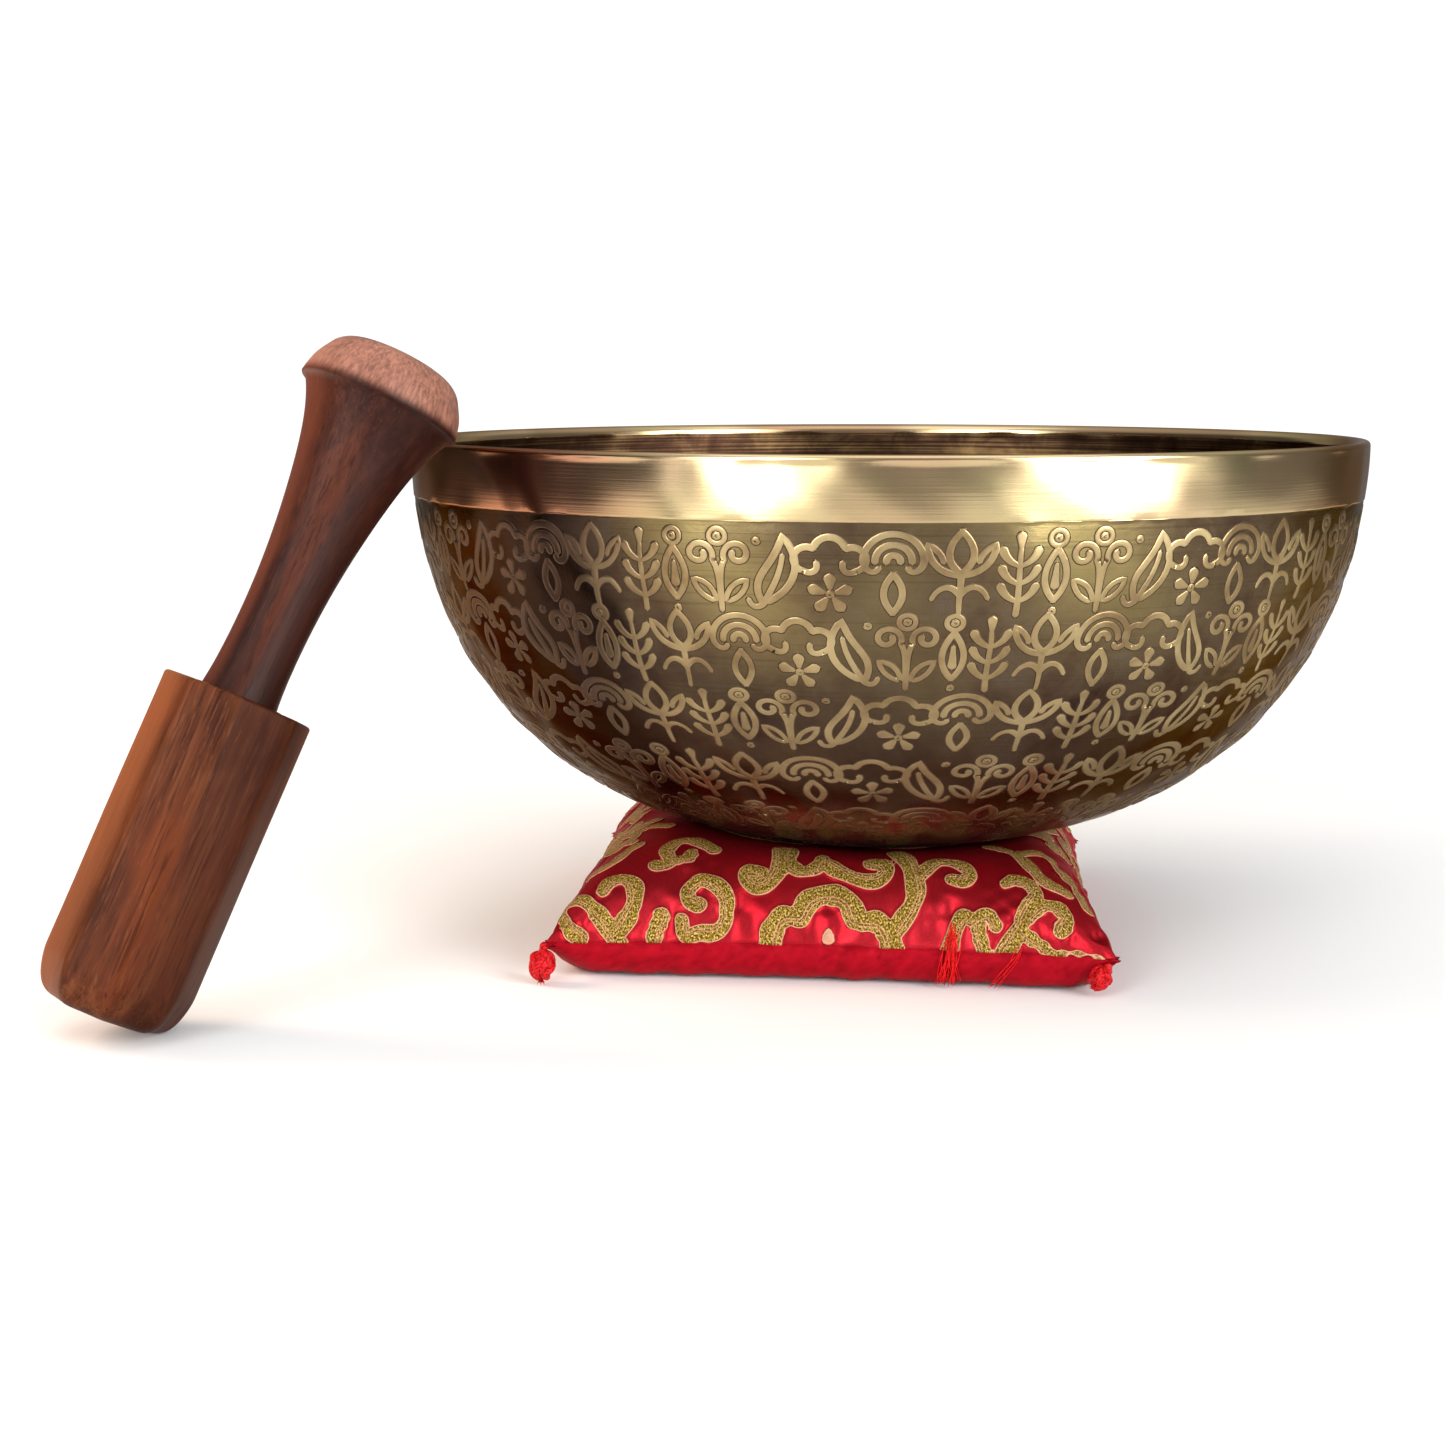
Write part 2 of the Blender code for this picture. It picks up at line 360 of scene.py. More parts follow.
def bowl_rows():
    """Each ring of the bowl as (points, distance down the wall, 1 inside, 0.5 on the rim or 0 outside)."""
    turn = round_turn(BOWL_COLUMNS)
    inside = np.linspace(INNER.length - 4 * MM, RIM_ROUND_INNER + 0.4 * MM, 88)
    edge = BAND_WIDTH + np.array([-0.5, -0.25, -0.1, 0.05, 0.2, 0.45]) * MM
    outside = np.linspace(RIM_ROUND_OUTER + 0.4 * MM, OUTER.length - 4 * MM, 130)
    outside = np.sort(np.concatenate([outside[np.abs(outside - BAND_WIDTH) > 0.7 * MM], edge]))
    rows = [(INNER.place(turn, down, 0.1 * MM), down, 1.0) for down in inside]
    rows += [(polar(radius, turn, height), 0.0, 0.5) for radius, height in rim_profile()]
    return rows + [(OUTER.place(turn, down, 0.0), down, 0.0) for down in outside]


def tarnished_and_shaded_places(turn):
    """0 to 1 where the brass is darker, tarnished and in painted shade: soft stretches of the circumference.
    """
    total = np.zeros(turn.shape)
    for centre, half, strength in TARNISHED_AND_SHADED:
        gap = np.abs(turn_between(turn, centre))
        total = np.maximum(total, strength * (1 - smooth_step(gap, half * 0.55, half)))
    return total


def rubbed_and_lit_places(turn, down):
    """0 to 1 where the brass is brighter, from rubbing wear and painted highlight: soft patches reaching down
    from the band.
    """
    total = np.zeros(len(turn))
    for centre, half, reach, strength in RUBBED_AND_LIT:
        slant = turn_between(turn, centre) + 5 * np.sin(down / (17 * MM) + centre)
        total += strength * np.exp(-(slant / half) ** 2) * (1 - smooth_step(down, reach * 0.35, reach))
    return np.clip(total, 0, 1)


def make_bowl(material):
    rings, downs, insides = (np.array(values) for values in zip(*bowl_rows()))
    floor = RIM_HEIGHT - BOWL_HEIGHT
    vertices, faces = lathe_mesh(rings, (0, 0, floor + BOWL_WALL), (0, 0, floor))
    bowl = mesh_object("bowl_hammered", vertices, faces, [material])
    down = np.repeat(downs, BOWL_COLUMNS)
    turn = np.tile(np.degrees(round_turn(BOWL_COLUMNS)), len(rings))
    # Brightened by rubbing wear and painted highlight, darkened by tarnished brass and painted shade.
    for name, values, at_axis in (("down", down, (INNER.length, OUTER.length)),
                                  ("inside", np.repeat(insides, BOWL_COLUMNS), (1, 0)),
                                  ("rubbed_and_lit", rubbed_and_lit_places(turn, down), (0, 0)),
                                  ("tarnish_and_shade", tarnished_and_shaded_places(turn), (0, 0))):
        store(bowl, name, np.concatenate([values, at_axis]))
    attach(bowl, "bowl")
    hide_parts("bowl")


def bowl_material():
    """Polished brass on the band, patina below it and turned, sooty brass inside."""
    shade = Shade("bowl_brass")
    down = shade.stored("down")
    tarnish_and_shade = shade.stored("tarnish_and_shade")
    spot = shade.node("SeparateXYZ", shade.place)
    rings = shade.node("CombineXYZ", spot.outputs[0], spot.outputs[1], down).outputs[0]
    lathe = shade.noise(1.0, (9, 9, 1400), 3, place=rings)
    fine_lathe = shade.noise(1.0, (20, 20, 5200), 2, place=rings)
    cloudy = shade.noise(26, detail=5, roughness=0.6)
    blotch = shade.noise(75, detail=6, roughness=0.65, distortion=0.6)
    tall = shade.noise(38, (1, 1, 0.25), 3)

    polished = shade.mix(shade.step(cloudy, 0.35, 0.65), (0.66, 0.48, 0.28), (0.57, 0.46, 0.24))
    # Painted shade with tarnished brass: the band darkens on the bowl's sides.
    polished = shade.mix(tarnish_and_shade, polished, (0.29, 0.13, 0.08))
    polished = shade.tinted(polished, (0.5, 0.36, 0.2), lathe, 0.5, 0.75, 0.16)
    patina = shade.ramp(shade.mix(0.45, cloudy, blotch),
                        (0.36, (0.034, 0.017, 0.013)), (0.46, (0.08, 0.05, 0.033)),
                        (0.55, (0.11, 0.077, 0.046)), (0.68, (0.125, 0.1, 0.082)))
    patina = shade.tinted(patina, (0.15, 0.105, 0.052), tall, 0.5, 0.72, 0.4)
    # Painted highlight with rubbing wear: brighter patina below the band.
    rubbed_and_lit = shade.times(shade.stored("rubbed_and_lit"), shade.span(cloudy, 0.3, 1.2))
    patina = shade.mix(rubbed_and_lit, patina, (0.43, 0.34, 0.13))
    patina = shade.tinted(patina, (0.034, 0.016, 0.013), down, 40 * MM, 100 * MM, 0.72)
    # Painted shade with tarnished brass: the patina darkens on the bowl's sides.
    patina = shade.mix(shade.times(tarnish_and_shade, 0.95), patina, (0.02, 0.012, 0.011))
    patina = shade.tinted(patina, (0.42, 0.33, 0.25), down, 100 * MM, 126 * MM, 0.55)
    patina = shade.tinted(patina, (0.04, 0.024, 0.013), lathe, 0.52, 0.7, 0.3)
    soot = shade.ramp(shade.mix(0.4, lathe, blotch),
                      (0.36, (0.02, 0.009, 0.006)), (0.5, (0.055, 0.028, 0.016)), (0.66, (0.2, 0.125, 0.05)))

    below_band = shade.step(down, BAND_WIDTH - 0.1 * MM, BAND_WIDTH + 0.1 * MM)
    is_inside = shade.step(shade.stored("inside"), 0.6, 0.9)
    colour = shade.mix(is_inside, shade.mix(below_band, polished, patina), soot)
    rough = shade.mix(below_band, shade.span(fine_lathe, 0.13, 0.23), shade.span(blotch, 0.15, 0.36))
    rough = shade.mix(is_inside, rough, (0.42, 0.42, 0.42))

    brushed = shade.bump(lathe, 0.016 * MM)
    brushed = shade.bump(fine_lathe, 0.005 * MM, brushed)
    pitted = shade.bump(shade.times(blotch, below_band), 0.12 * MM, brushed)
    return shade.finish(Base_Color=colour, Metallic=1.0, Roughness=rough, Normal=pitted,
                        Specular_Tint=(0.5, 0.42, 0.36))


# ---------------------------------------------------------------- etched ornament on the bowl

# The border is drawn in units of about a millimetre: one repeat, and half the width of a full stroke.
UNIT_WIDTH = 96.0
UNIT_HEIGHT = 25.0
STROKE = 0.9
# How far the groove reaches past the raised stroke on each side.
OUTLINE = 0.45
# The narrowest stroke over the full one.
THINNEST = 0.45
# The border dulls down the wall, by up to a share between two distances from the rim.
DULLED_BELOW = 0.65
DULLING_FROM, DULLING_TO = 35 * MM, 125 * MM
# The border's material slots.
BRASS, GROOVE = 0, 1


def bezier(start, first, second, end, count=16):
    t = np.linspace(0, 1, count)[:, None]
    start, first, second, end = (np.array(point, dtype=float) for point in (start, first, second, end))
    return start * (1 - t) ** 3 + 3 * first * t * (1 - t) ** 2 + 3 * second * t * t * (1 - t) + end * t ** 3


def spiral(centre, outer, inner, start, sweep, count=26):
    """A curl winding inwards, angles in degrees."""
    t = np.linspace(0, 1, count)
    angle = np.radians(start + sweep * t)
    radius = outer + (inner - outer) * t ** 0.8
    return np.stack([centre[0] + radius * np.cos(angle), centre[1] + radius * np.sin(angle)], axis=-1)


def joined(*lines):
    parts = [lines[0]] + [line[1:] if np.allclose(line[0], lines[0][-1]) else line for line in lines[1:]]
    return np.concatenate(parts)


# Each motif is drawn about x = 0 with y down the wall. A stroke is its centre line and its weights at
# its start and its end: 0 is the narrowest stroke and 1 the full one.

def both_sides(strokes):
    """Strokes with their mirror images."""
    return strokes + [(line * (-1, 1), first, last) for line, first, last in strokes]


def lotus():
    """A three-petalled bud on a short stem with two leaves."""
    petal = bezier((0, 13), (4.6, 9.5), (3.4, 5), (0, 1.6))
    side = joined(bezier((0, 13.4), (5, 13.4), (8.2, 9.5), (8.4, 5)),
                  bezier((8.4, 5), (6.2, 6.2), (4.8, 7.8), (4.4, 9.6), 8))
    leaf = bezier((0, 19), (2.5, 15.5), (5.5, 16.5), (7, 20))
    stem = bezier((0, 13), (0.3, 17), (-0.4, 21), (0, 25))
    return both_sides([(petal, 1, 0.7), (side, 1, 0.6), (leaf, 1, 0.3)]) + [(stem, 1, 0.25)]


def palm():
    """A slender stem with three pairs of leaves under a bud."""
    stem = bezier((0, 24.6), (0.5, 18), (-0.4, 11), (0, 6.5))
    bud = bezier((0, 6.2), (0, 5), (0, 4), (0, 3), 6)
    leaves = []
    for y in (21, 16, 11):
        leaf = bezier((0, y), (1.5, y - 0.6), (3.5, y - 1.6), (4.4, y - 4.2), 9)
        leaves += both_sides([(leaf, 0.2, 1.4)])
    return [(stem, 0.8, 0.3), (bud, 0.1, 1.6)] + leaves


def seed_chain():
    """A seed between a bead and a dot."""
    half = bezier((0, 6.6), (-4, 12), (-3.6, 17), (0, 20.8))
    heart = bezier((0, 11), (0, 13), (0, 15), (0, 16.6), 6)
    return both_sides([(half, 0.8, 0.8)]) + [(heart, 0.3, 1.5)] + bead(3.6) + dot(23.8)


def ram_horns():
    """Two curls rising from one stem, with two leaves and a bead."""
    horn = joined(bezier((0, 24), (0.4, 18), (-0.2, 13), (1.5, 10), 12),
                  spiral((5, 8.3), 3.9, 1.3, 154, 400, 30))
    leaf = joined(bezier((1.2, 21.6), (1.8, 17.5), (4.4, 15.6), (7.2, 15.4), 10),
                  bezier((7.2, 15.4), (6.6, 18.8), (4.2, 21.2), (1.2, 21.6), 10))
    return both_sides([(horn, 0.5, 0.8), (leaf, 0.5, 0.5)]) + bead(3.4)


def flame_leaf():
    """A leaf with a vein and a curled stalk."""
    outline = joined(bezier((-4, 22), (-8, 14), (-1, 12.5), (1.5, 3)),
                     bezier((1.5, 3), (7, 9.5), (5, 18), (-4, 22)))
    vein = bezier((-4, 22), (-1, 17), (0.8, 13), (1.4, 8.5))
    stalk = bezier((-4, 22), (-5.5, 23.5), (-7, 23), (-7.6, 21))
    return [(outline, 0.95, 0.95), (vein, 0.8, 0.35), (stalk, 0.8, 0.5)]


def cloud():
    """A three-lobed cloud with curled ends over a small flower."""
    middle = spiral((0, 7.2), 4.0, 4.0, 205, 130, 16)
    lobe = joined(spiral((5.6, 9.2), 3.3, 3.3, -115, 190, 18),
                  bezier((6.5, 12.4), (4.5, 13.6), (2.8, 12.4), (3.2, 10.4), 10))
    return [(middle, 1, 1)] + both_sides([(lobe, 1, 0.7)]) + flower(18.9)


def flower(y):
    """Five broad petals round a dot."""
    reach = np.linspace(1.9, 4.2, 6)[:, None]
    petals = [((0, y) + reach * (math.cos(angle), math.sin(angle)), 0.5, 2.2)
              for angle in np.radians(np.arange(5) * 72 - 90)]
    return petals + dot(y)


def fan():
    """Nested arches over a hanging seed."""
    arches = [(spiral((0, 9.6), radius, radius, 180, 180, count), 0.85, 0.85)
              for radius, count in ((7.4, 26), (4.5, 18), (1.7, 10))]
    curl = bezier((7.4, 9.6), (7.2, 12.4), (4.4, 13.4), (3.6, 11.6), 9)
    seed = bezier((0, 13.2), (3.2, 17), (3, 20.4), (0, 24))
    return arches + both_sides([(curl, 0.85, 0.6), (seed, 0.8, 0.8)])


def dot(y):
    return [(spiral((0, y), 0.35, 0.35, 0, 360, 8), 0.75, 0.75)]


def bead(y):
    """A dot inside a ring."""
    return [(spiral((0, y), 2.1, 2.1, 0, 360, 22), 0.4, 0.4)] + dot(y)


def ornament_unit():
    """The strokes of one repeat of the border, its motifs side by side."""
    motifs = ((lotus(), 9), (palm(), 23.5), (seed_chain(), 33), (ram_horns(), 45), (dot(4.5), 55),
              (flame_leaf(), 60), (cloud(), 73), (fan(), 88.5))
    return [(line + (x, 0), first, last) for strokes, x in motifs for line, first, last in strokes]


def ribbon(line, first, last):
    """Stations along a stroke (centre, way along it, half widths of brass and groove), and if it closes."""
    step = np.gradient(line, axis=0)
    step /= np.maximum(np.hypot(step[:, 0], step[:, 1]), 1e-9)[:, None]
    half = STROKE * (THINNEST + (1 - THINNEST) * np.linspace(first, last, len(line)))
    rows = [(point, way, h, h + OUTLINE) for point, way, h in zip(line, step, half)]
    if np.allclose(line[0], line[-1]):
        return rows, True
    return round_end(rows[0], -1)[::-1] + rows + round_end(rows[-1], 1), False


def round_end(station, sign):
    """Stations past one end of a stroke, which round off its brass and then its groove."""
    point, way, brass, groove = station
    stations = []
    for share in (0.35, 0.7, 0.95):
        stations.append((point + way * sign * brass * share, way, brass * math.sqrt(1 - share * share),
                         math.sqrt(groove ** 2 - (brass * share) ** 2)))
    for extra in (0.4, 0.9):
        reach = brass + OUTLINE * extra
        stations.append((point + way * sign * reach, way, 0.0, math.sqrt(groove ** 2 - reach ** 2)))
    return stations


def ribbon_grid(rows):
    """The stroke's surface: places in the drawing, and lifts off the wall in millimetres."""
    points, lifts = [], []
    for point, way, brass, groove in rows:
        foot = min(brass + 0.06, groove * 0.9)
        edges = [max(brass - 0.28, 0), max(brass - 0.12, 0), foot, max(groove - 0.14, foot), groove]
        side = np.array([-way[1], way[0]])
        points.append([point + side * offset for offset in [-edge for edge in edges[::-1]] + edges])
        heights = [0.14, 0.13, 0.05, 0.035, -0.14] if brass > 0 else [0.05, 0.05, 0.05, 0.035, -0.14]
        lifts.append(heights[::-1] + heights)
    return np.array(points), np.array(lifts)


def seam_quads(rows, columns, first):
    """Quads from the last but one row of a closed stroke back to its first row."""
    column = np.arange(columns)
    after = (column + 1) % columns
    start = (rows - 2) * columns
    return np.stack([start + column, start + after, after, column], axis=-1) + first


def stroke_faces(rows, columns, closed, flip, first):
    """One stroke's faces and the material of each."""
    quads = ring_faces(rows, columns, first)
    if closed:
        quads = np.concatenate([quads[:(rows - 2) * columns], seam_quads(rows, columns, first)])
    spot = np.arange(len(quads)) % columns
    kinds = np.where((spot >= 2) & (spot <= 6), BRASS, GROOVE).tolist()
    faces = quads.tolist()
    if not closed:
        end = first + (rows - 1) * columns
        faces += [list(range(first, first + columns))[::-1], list(range(end, end + columns))]
        kinds += [GROOVE, GROOVE]
    return (faces if flip else [face[::-1] for face in faces]), kinds


def make_ornament_row(name, top, bottom, repeats, phase, flip, materials):
    """One ring of the border between two distances down the wall."""
    vertices, faces, kinds, dulled = [], [], [], []
    count = 0
    unit_angle = 2 * math.pi / repeats
    ribbons = [ribbon(*stroke) for stroke in ornament_unit()]
    grids = [(*ribbon_grid(rows), closed) for rows, closed in ribbons]
    for repeat in range(repeats):
        for points, lifts, closed in grids:
            across = points[..., 0] / UNIT_WIDTH
            if flip:
                across = 1 - across
            turn = -math.pi / 2 + (repeat + phase + across) * unit_angle
            down = top + points[..., 1] / UNIT_HEIGHT * (bottom - top)
            vertices.append(OUTER.place(turn, down, lifts * MM).reshape(-1, 3))
            deep = DULLED_BELOW * smooth_step(down, DULLING_FROM, DULLING_TO)
            # The border darkens with the wall's painted shade and tarnished brass, and down the wall.
            dulled.append(np.maximum(tarnished_and_shaded_places(np.degrees(turn)), deep).ravel())
            stroke, stroke_kinds = stroke_faces(*turn.shape, closed, flip, count)
            faces += stroke
            kinds += stroke_kinds
            count += turn.size
    piece = mesh_object(name, np.concatenate(vertices), faces, materials, kinds)
    store(piece, "dulled", np.concatenate(dulled))
    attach(piece, "bowl")


def ornament_materials():
    raised = Shade("etched_brass")
    wear = raised.noise(60, detail=5, roughness=0.6)
    grain = raised.noise(900, detail=2)
    colour = raised.ramp(wear, (0.35, (0.23, 0.155, 0.075)), (0.5, (0.36, 0.265, 0.13)),
                         (0.65, (0.48, 0.37, 0.19)))
    # Darker with the wall's painted shade and tarnished brass, and down the wall.
    colour = raised.mix(raised.stored("dulled"), colour, (0.065, 0.038, 0.032))
    brass = raised.finish(Base_Color=colour, Metallic=1.0, Roughness=raised.span(wear, 0.24, 0.42),
                          Normal=raised.bump(grain, 0.02 * MM), Specular_Tint=(0.6, 0.5, 0.4))
    groove = Shade("etched_groove")
    stain = groove.noise(220, detail=4)
    colour = groove.ramp(stain, (0.35, (0.03, 0.016, 0.008)), (0.7, (0.1, 0.06, 0.028)))
    dark = groove.finish(Base_Color=colour, Metallic=0.7, Roughness=0.55,
                         Normal=groove.bump(stain, 0.03 * MM))
    return [brass, dark]


# Rings of the border: name, top and bottom as distances down the wall, repeats round the bowl, the
# share of a repeat that the ring is turned by, and whether it runs the other way.
ORNAMENT_ROWS = (
    ("ornament_row_1", 17.0 * MM, 40.0 * MM, 9, 0.12, False),
    ("ornament_row_2", 38.5 * MM, 61.0 * MM, 9, 0.55, True),
    ("ornament_row_3", 60.5 * MM, 81.5 * MM, 8, 0.3, False),
    ("ornament_row_4", 82.5 * MM, 105.5 * MM, 7, 0.75, True),
    ("ornament_row_5", 106.0 * MM, 128.5 * MM, 6, 0.2, False),
)


# ---------------------------------------------------------------- mallet

# Planed flats of the barrel: direction in degrees round its axis, distance from the axis over its radius.
BARREL_FLATS = (
    (-97, 0.93),
    (-47, 0.945),
    (4, 0.935),
    (50, 0.95),
    (93, 0.94),
    (140, 0.945),
    (187, 0.93),
    (225, 0.955),
)
# How sharp the flats' edges are: the higher, the less they are eased.
EDGE_EASE = 60
# Shares of the radius: how much deeper the flats are cut at the foot, the waver of the plane, and what
# is planed off all round.
FOOT_CUT = 0.02
PLANE_WAVER = 0.003
PLANED_OFF = 0.004
# Directions round the mallet of its painted shade, a darker side away from the light, and its painted light,
# a paler side towards it, with the half widths in degrees that are in full colour and that it fades out at.
SHADED_SIDE = (130, 30, 75)
LIT_SIDE = (-12, 18, 46)
# The woods' grain from dark to light, their redder patches, the paler wood on the handle's head, which is
# wear and painted sheen, and the oil's shine.
BARREL_WOOD = {
    "dark": (0.019, 0.004, 0.0015), "middle": (0.07, 0.0175, 0.006), "light": (0.165, 0.053, 0.02),
    "patch": (0.135, 0.028, 0.0065), "shine": 0.07,
}
HANDLE_WOOD = {
    "dark": (0.012, 0.003, 0.002), "middle": (0.036, 0.009, 0.0045), "light": (0.085, 0.024, 0.013),
    "patch": (0.075, 0.016, 0.005), "shine": 0.12, "bare_and_sheen": (0.46, 0.205, 0.14),
}


def mallet_frame():
    """World matrix of the barrel's own frame: Z up its axis from the middle of its lower end."""
    joint = next(joint for joint in frame["joints"] if joint["name"] == "mallet_tip")
    lean = math.radians(joint["range_deg"][1])
    pivot = Vector(joint["pos_m"])
    azimuth = math.atan2(-joint["axis"][0], joint["axis"][1])
    turn = Matrix.Rotation(azimuth, 4, "Z") @ Matrix.Rotation(-lean, 4, "Y")
    return Matrix.Translation(pivot) @ turn @ Matrix.Translation((BARREL_RADIUS - FOOT_ROUND, 0, -FOOT_ROUND))


def facet_radius(turn, along, radius):
    """A hand-planed barrel: flats with eased edges just inside the full circle, deeper at the foot."""
    flats = np.full_like(turn, 10.0)
    for centre, depth in BARREL_FLATS:
        gap = np.radians(turn_between(np.degrees(turn), centre))
        flats = np.minimum(flats, depth / np.maximum(np.cos(gap), 0.3))
    towards_foot = 1 - smooth_step(along, 2 * MM, 20 * MM)
    share = (1 + flats ** -EDGE_EASE) ** (-1 / EDGE_EASE)
    deeper = FOOT_CUT * towards_foot * (1 - smooth_step(flats, 0.95, 1.01))
    waver = PLANE_WAVER * np.sin(along / (9 * MM) + 3 * turn) * np.sin(2 * turn)
    return radius * (share - deeper + waver - PLANED_OFF)


def turned_object(name, profile, columns, material, shape=None):
    """A turned piece from (radius, height) points, top axis point first, closed at both ends."""
    (_, top), *middle, (_, bottom) = profile
    radius, height = np.array(middle).T[..., None]
    turn = round_turn(columns)
    if shape is not None:
        radius = shape(turn, height, radius)
    vertices, faces = lathe_mesh(polar(radius, turn, height), (0, 0, top), (0, 0, bottom))
    return mesh_object(name, vertices, faces, [material])


def barrel_profile():
    face = [(r, BARREL_LENGTH) for r in np.linspace(2 * MM, 9.8 * MM, 4)]
    face += [(10.7 * MM, BARREL_LENGTH + 0.45 * MM), (11.5 * MM, BARREL_LENGTH + 0.45 * MM)]
    face += [(r, BARREL_LENGTH) for r in np.linspace(12 * MM, BARREL_RADIUS - 1.6 * MM, 5)]
    top = arc(BARREL_RADIUS - 0.9 * MM, BARREL_LENGTH - 0.9 * MM, 0.9 * MM, 90, 0, 6)
    side = [(BARREL_RADIUS, z)
            for z in np.linspace(BARREL_LENGTH - 3 * MM, FOOT_ROUND + FOOT_TAPER + 1 * MM, 60)]
    foot = [(r, z + FOOT_TAPER * ((r - BARREL_RADIUS + FOOT_ROUND) / FOOT_ROUND) ** 5)
            for r, z in arc(BARREL_RADIUS - FOOT_ROUND, FOOT_ROUND, FOOT_ROUND, 0, -86, 26)]
    under = [(r, 0.02 * MM) for r in np.linspace(BARREL_RADIUS - FOOT_ROUND - 1 * MM, 1 * MM, 6)]
    return [(0, BARREL_LENGTH)] + face + top + side + foot + under + [(0, 0)]


def handle_profile():
    """Head, ring edge, waist and foot of the handle, which ends just under the barrel's upper face."""
    knots_z = np.array([0, 6, 13.4, 21.5, 32, 43, 49, 60.4, 64.7, 75.2, 80.5, 83.6]) * MM
    knots_r = np.array([10.25, 9.75, 9.35, 9.4, 9.85, 10.9, 11.4, 13.3, 14.2, 16.8, 18.9, 20.6]) * MM
    z = np.linspace(0, 83.2 * MM, 80)
    fit = np.polyfit(knots_z, knots_r, 6)
    waist = list(zip(np.polyval(fit, z), z))[::-1]
    drops = ((0, 0), (6, 0.12), (11, 0.45), (14.6, 1.3), (17.2, 3.1), (19.1, 6), (20.6, 9), (21.5, 12.3))
    crown = [(r, HEAD_TOP - drop) for r, drop in smooth_line(np.array(drops) * MM, 5)][1:]
    edge = [(HEAD_RADIUS + out * MM, RING_POSITION + up * MM)
            for out, up in ((0, 0.9), (0.1, 0.35), (-0.1, 0), (-0.6, -0.3))]
    stub = [(10.25 * MM, -1.9 * MM), (6 * MM, -1.95 * MM)]
    return [(0, HEAD_TOP)] + crown + edge + waist + stub + [(0, -2 * MM)]


def wood_side(piece, centre, full, half):
    """0 to 1 round a mallet piece: 1 within full degrees of the centre, 0 beyond half."""
    x, y, _ = vertex_places(piece.data).T
    gap = np.abs(turn_between(np.degrees(np.arctan2(y, x)), centre))
    return 1 - smooth_step(gap, full, half)


def wood_material(name, dark, middle, light, patch, shine, bare_and_sheen=None):
    """Oiled rosewood with grain along the turning axis, paler where its piece says so from wear and painted
    sheen, with painted shade on one side and painted light on another.
    """
    shade = Shade(name)
    bands = shade.noise(70, (1, 1, 0.06), 5, 0.6, 0.4)
    streaks = shade.noise(330, (1, 1, 0.035), 4, 0.65)
    pores = shade.noise(1300, (1, 1, 0.05), 2)
    flecks = shade.noise(1250, (1, 1, 0.1), 3, 0.7)
    patches = shade.noise(34, (1, 1, 0.5), 4, 0.6)
    colour = shade.ramp(shade.mix(0.45, bands, streaks), (0.36, dark), (0.5, middle), (0.66, light))
    colour = shade.tinted(colour, patch, patches, 0.46, 0.62, 0.55)
    shadowed = shade.minus(1.0, shade.step(patches, 0.36, 0.47))
    colour = shade.mix(shade.times(shadowed, 0.5), colour, dark)
    colour = shade.tinted(colour, dark, pores, 0.54, 0.68, 0.6)
    colour = shade.tinted(colour, light, flecks, 0.54, 0.68, 0.4)
    # Painted shade: the side away from the light is darkened.
    colour = shade.mix(shade.times(shade.stored("painted_shade"), 0.62), colour, dark)
    # Painted light: the side towards the light is paled.
    pale = tuple(1.55 * channel for channel in light)
    colour = shade.mix(shade.times(shade.stored("painted_light"), 0.5), colour, pale)
    if bare_and_sheen is not None:
        shadow = tuple(0.4 * channel for channel in bare_and_sheen)
        bare_and_sheen_grain = shade.ramp(shade.mix(0.6, bands, flecks), (0.4, shadow), (0.6, bare_and_sheen))
        # Painted sheen with wear: the head above the ring edge is paler.
        wear_and_sheen = shade.times(shade.stored("wear_and_sheen"), shade.span(patches, 0.4, 1.2), clamp=True)
        colour = shade.mix(wear_and_sheen, colour, bare_and_sheen_grain)
    height = shade.mix(0.5, streaks, pores)
    return shade.finish(Base_Color=colour, Roughness=shade.span(streaks, 0.36, 0.58),
                        Specular_IOR_Level=shine, Normal=shade.bump(height, 0.12 * MM))


def make_mallet():
    place = mallet_frame()
    barrel_wood = wood_material("barrel_rosewood", **BARREL_WOOD)
    handle_wood = wood_material("handle_rosewood", **HANDLE_WOOD)
    barrel = turned_object("mallet_barrel_planed", barrel_profile(), 176, barrel_wood, facet_radius)
    barrel.matrix_world = place
    handle = turned_object("mallet_handle_turned", handle_profile(), 144, handle_wood)
    handle.matrix_world = (place @ Matrix.Translation((0, 0, BARREL_LENGTH))
                           @ Matrix.Rotation(-HANDLE_BEND, 4, "Y"))
    up = vertex_places(handle.data)[:, 2]
    # Painted sheen with wear on the head above its ring edge.
    store(handle, "wear_and_sheen", 0.8 * smooth_step(up, RING_POSITION + 0.2 * MM, RING_POSITION + 3 * MM))
    for piece, node, slot in ((barrel, "mallet_barrel", "barrel_wood"),
                              (handle, "mallet_handle", "handle_wood")):
        # Painted shade and painted light on opposite sides of each piece.
        store(piece, "painted_shade", wood_side(piece, *SHADED_SIDE))
        store(piece, "painted_light", wood_side(piece, *LIT_SIDE))
        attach(piece, "mallet")
        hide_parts(node)


# ---------------------------------------------------------------- cushion: shape

BROCADE_LOW, BROCADE_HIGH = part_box("cushion_brocade_cover")
CUSHION_CENTRE = (BROCADE_LOW + BROCADE_HIGH) / 2
CUSHION_HALF = (BROCADE_HIGH.x - BROCADE_LOW.x) / 2
SEAM_HEIGHT = 11 * MM
SEAM_CORNER_DROP = 0.8 * MM
SIDE_PULL = 0.034
CORNER_EAR = 1.7 * MM
# How far the front left corner lies behind the square plan, and the front right one before it.
FRONT_SKEW = 3.2 * MM
TOP_CROWN = 22 * MM
CLOTH_CELLS = 48
CLOTH_FRAMES = 30
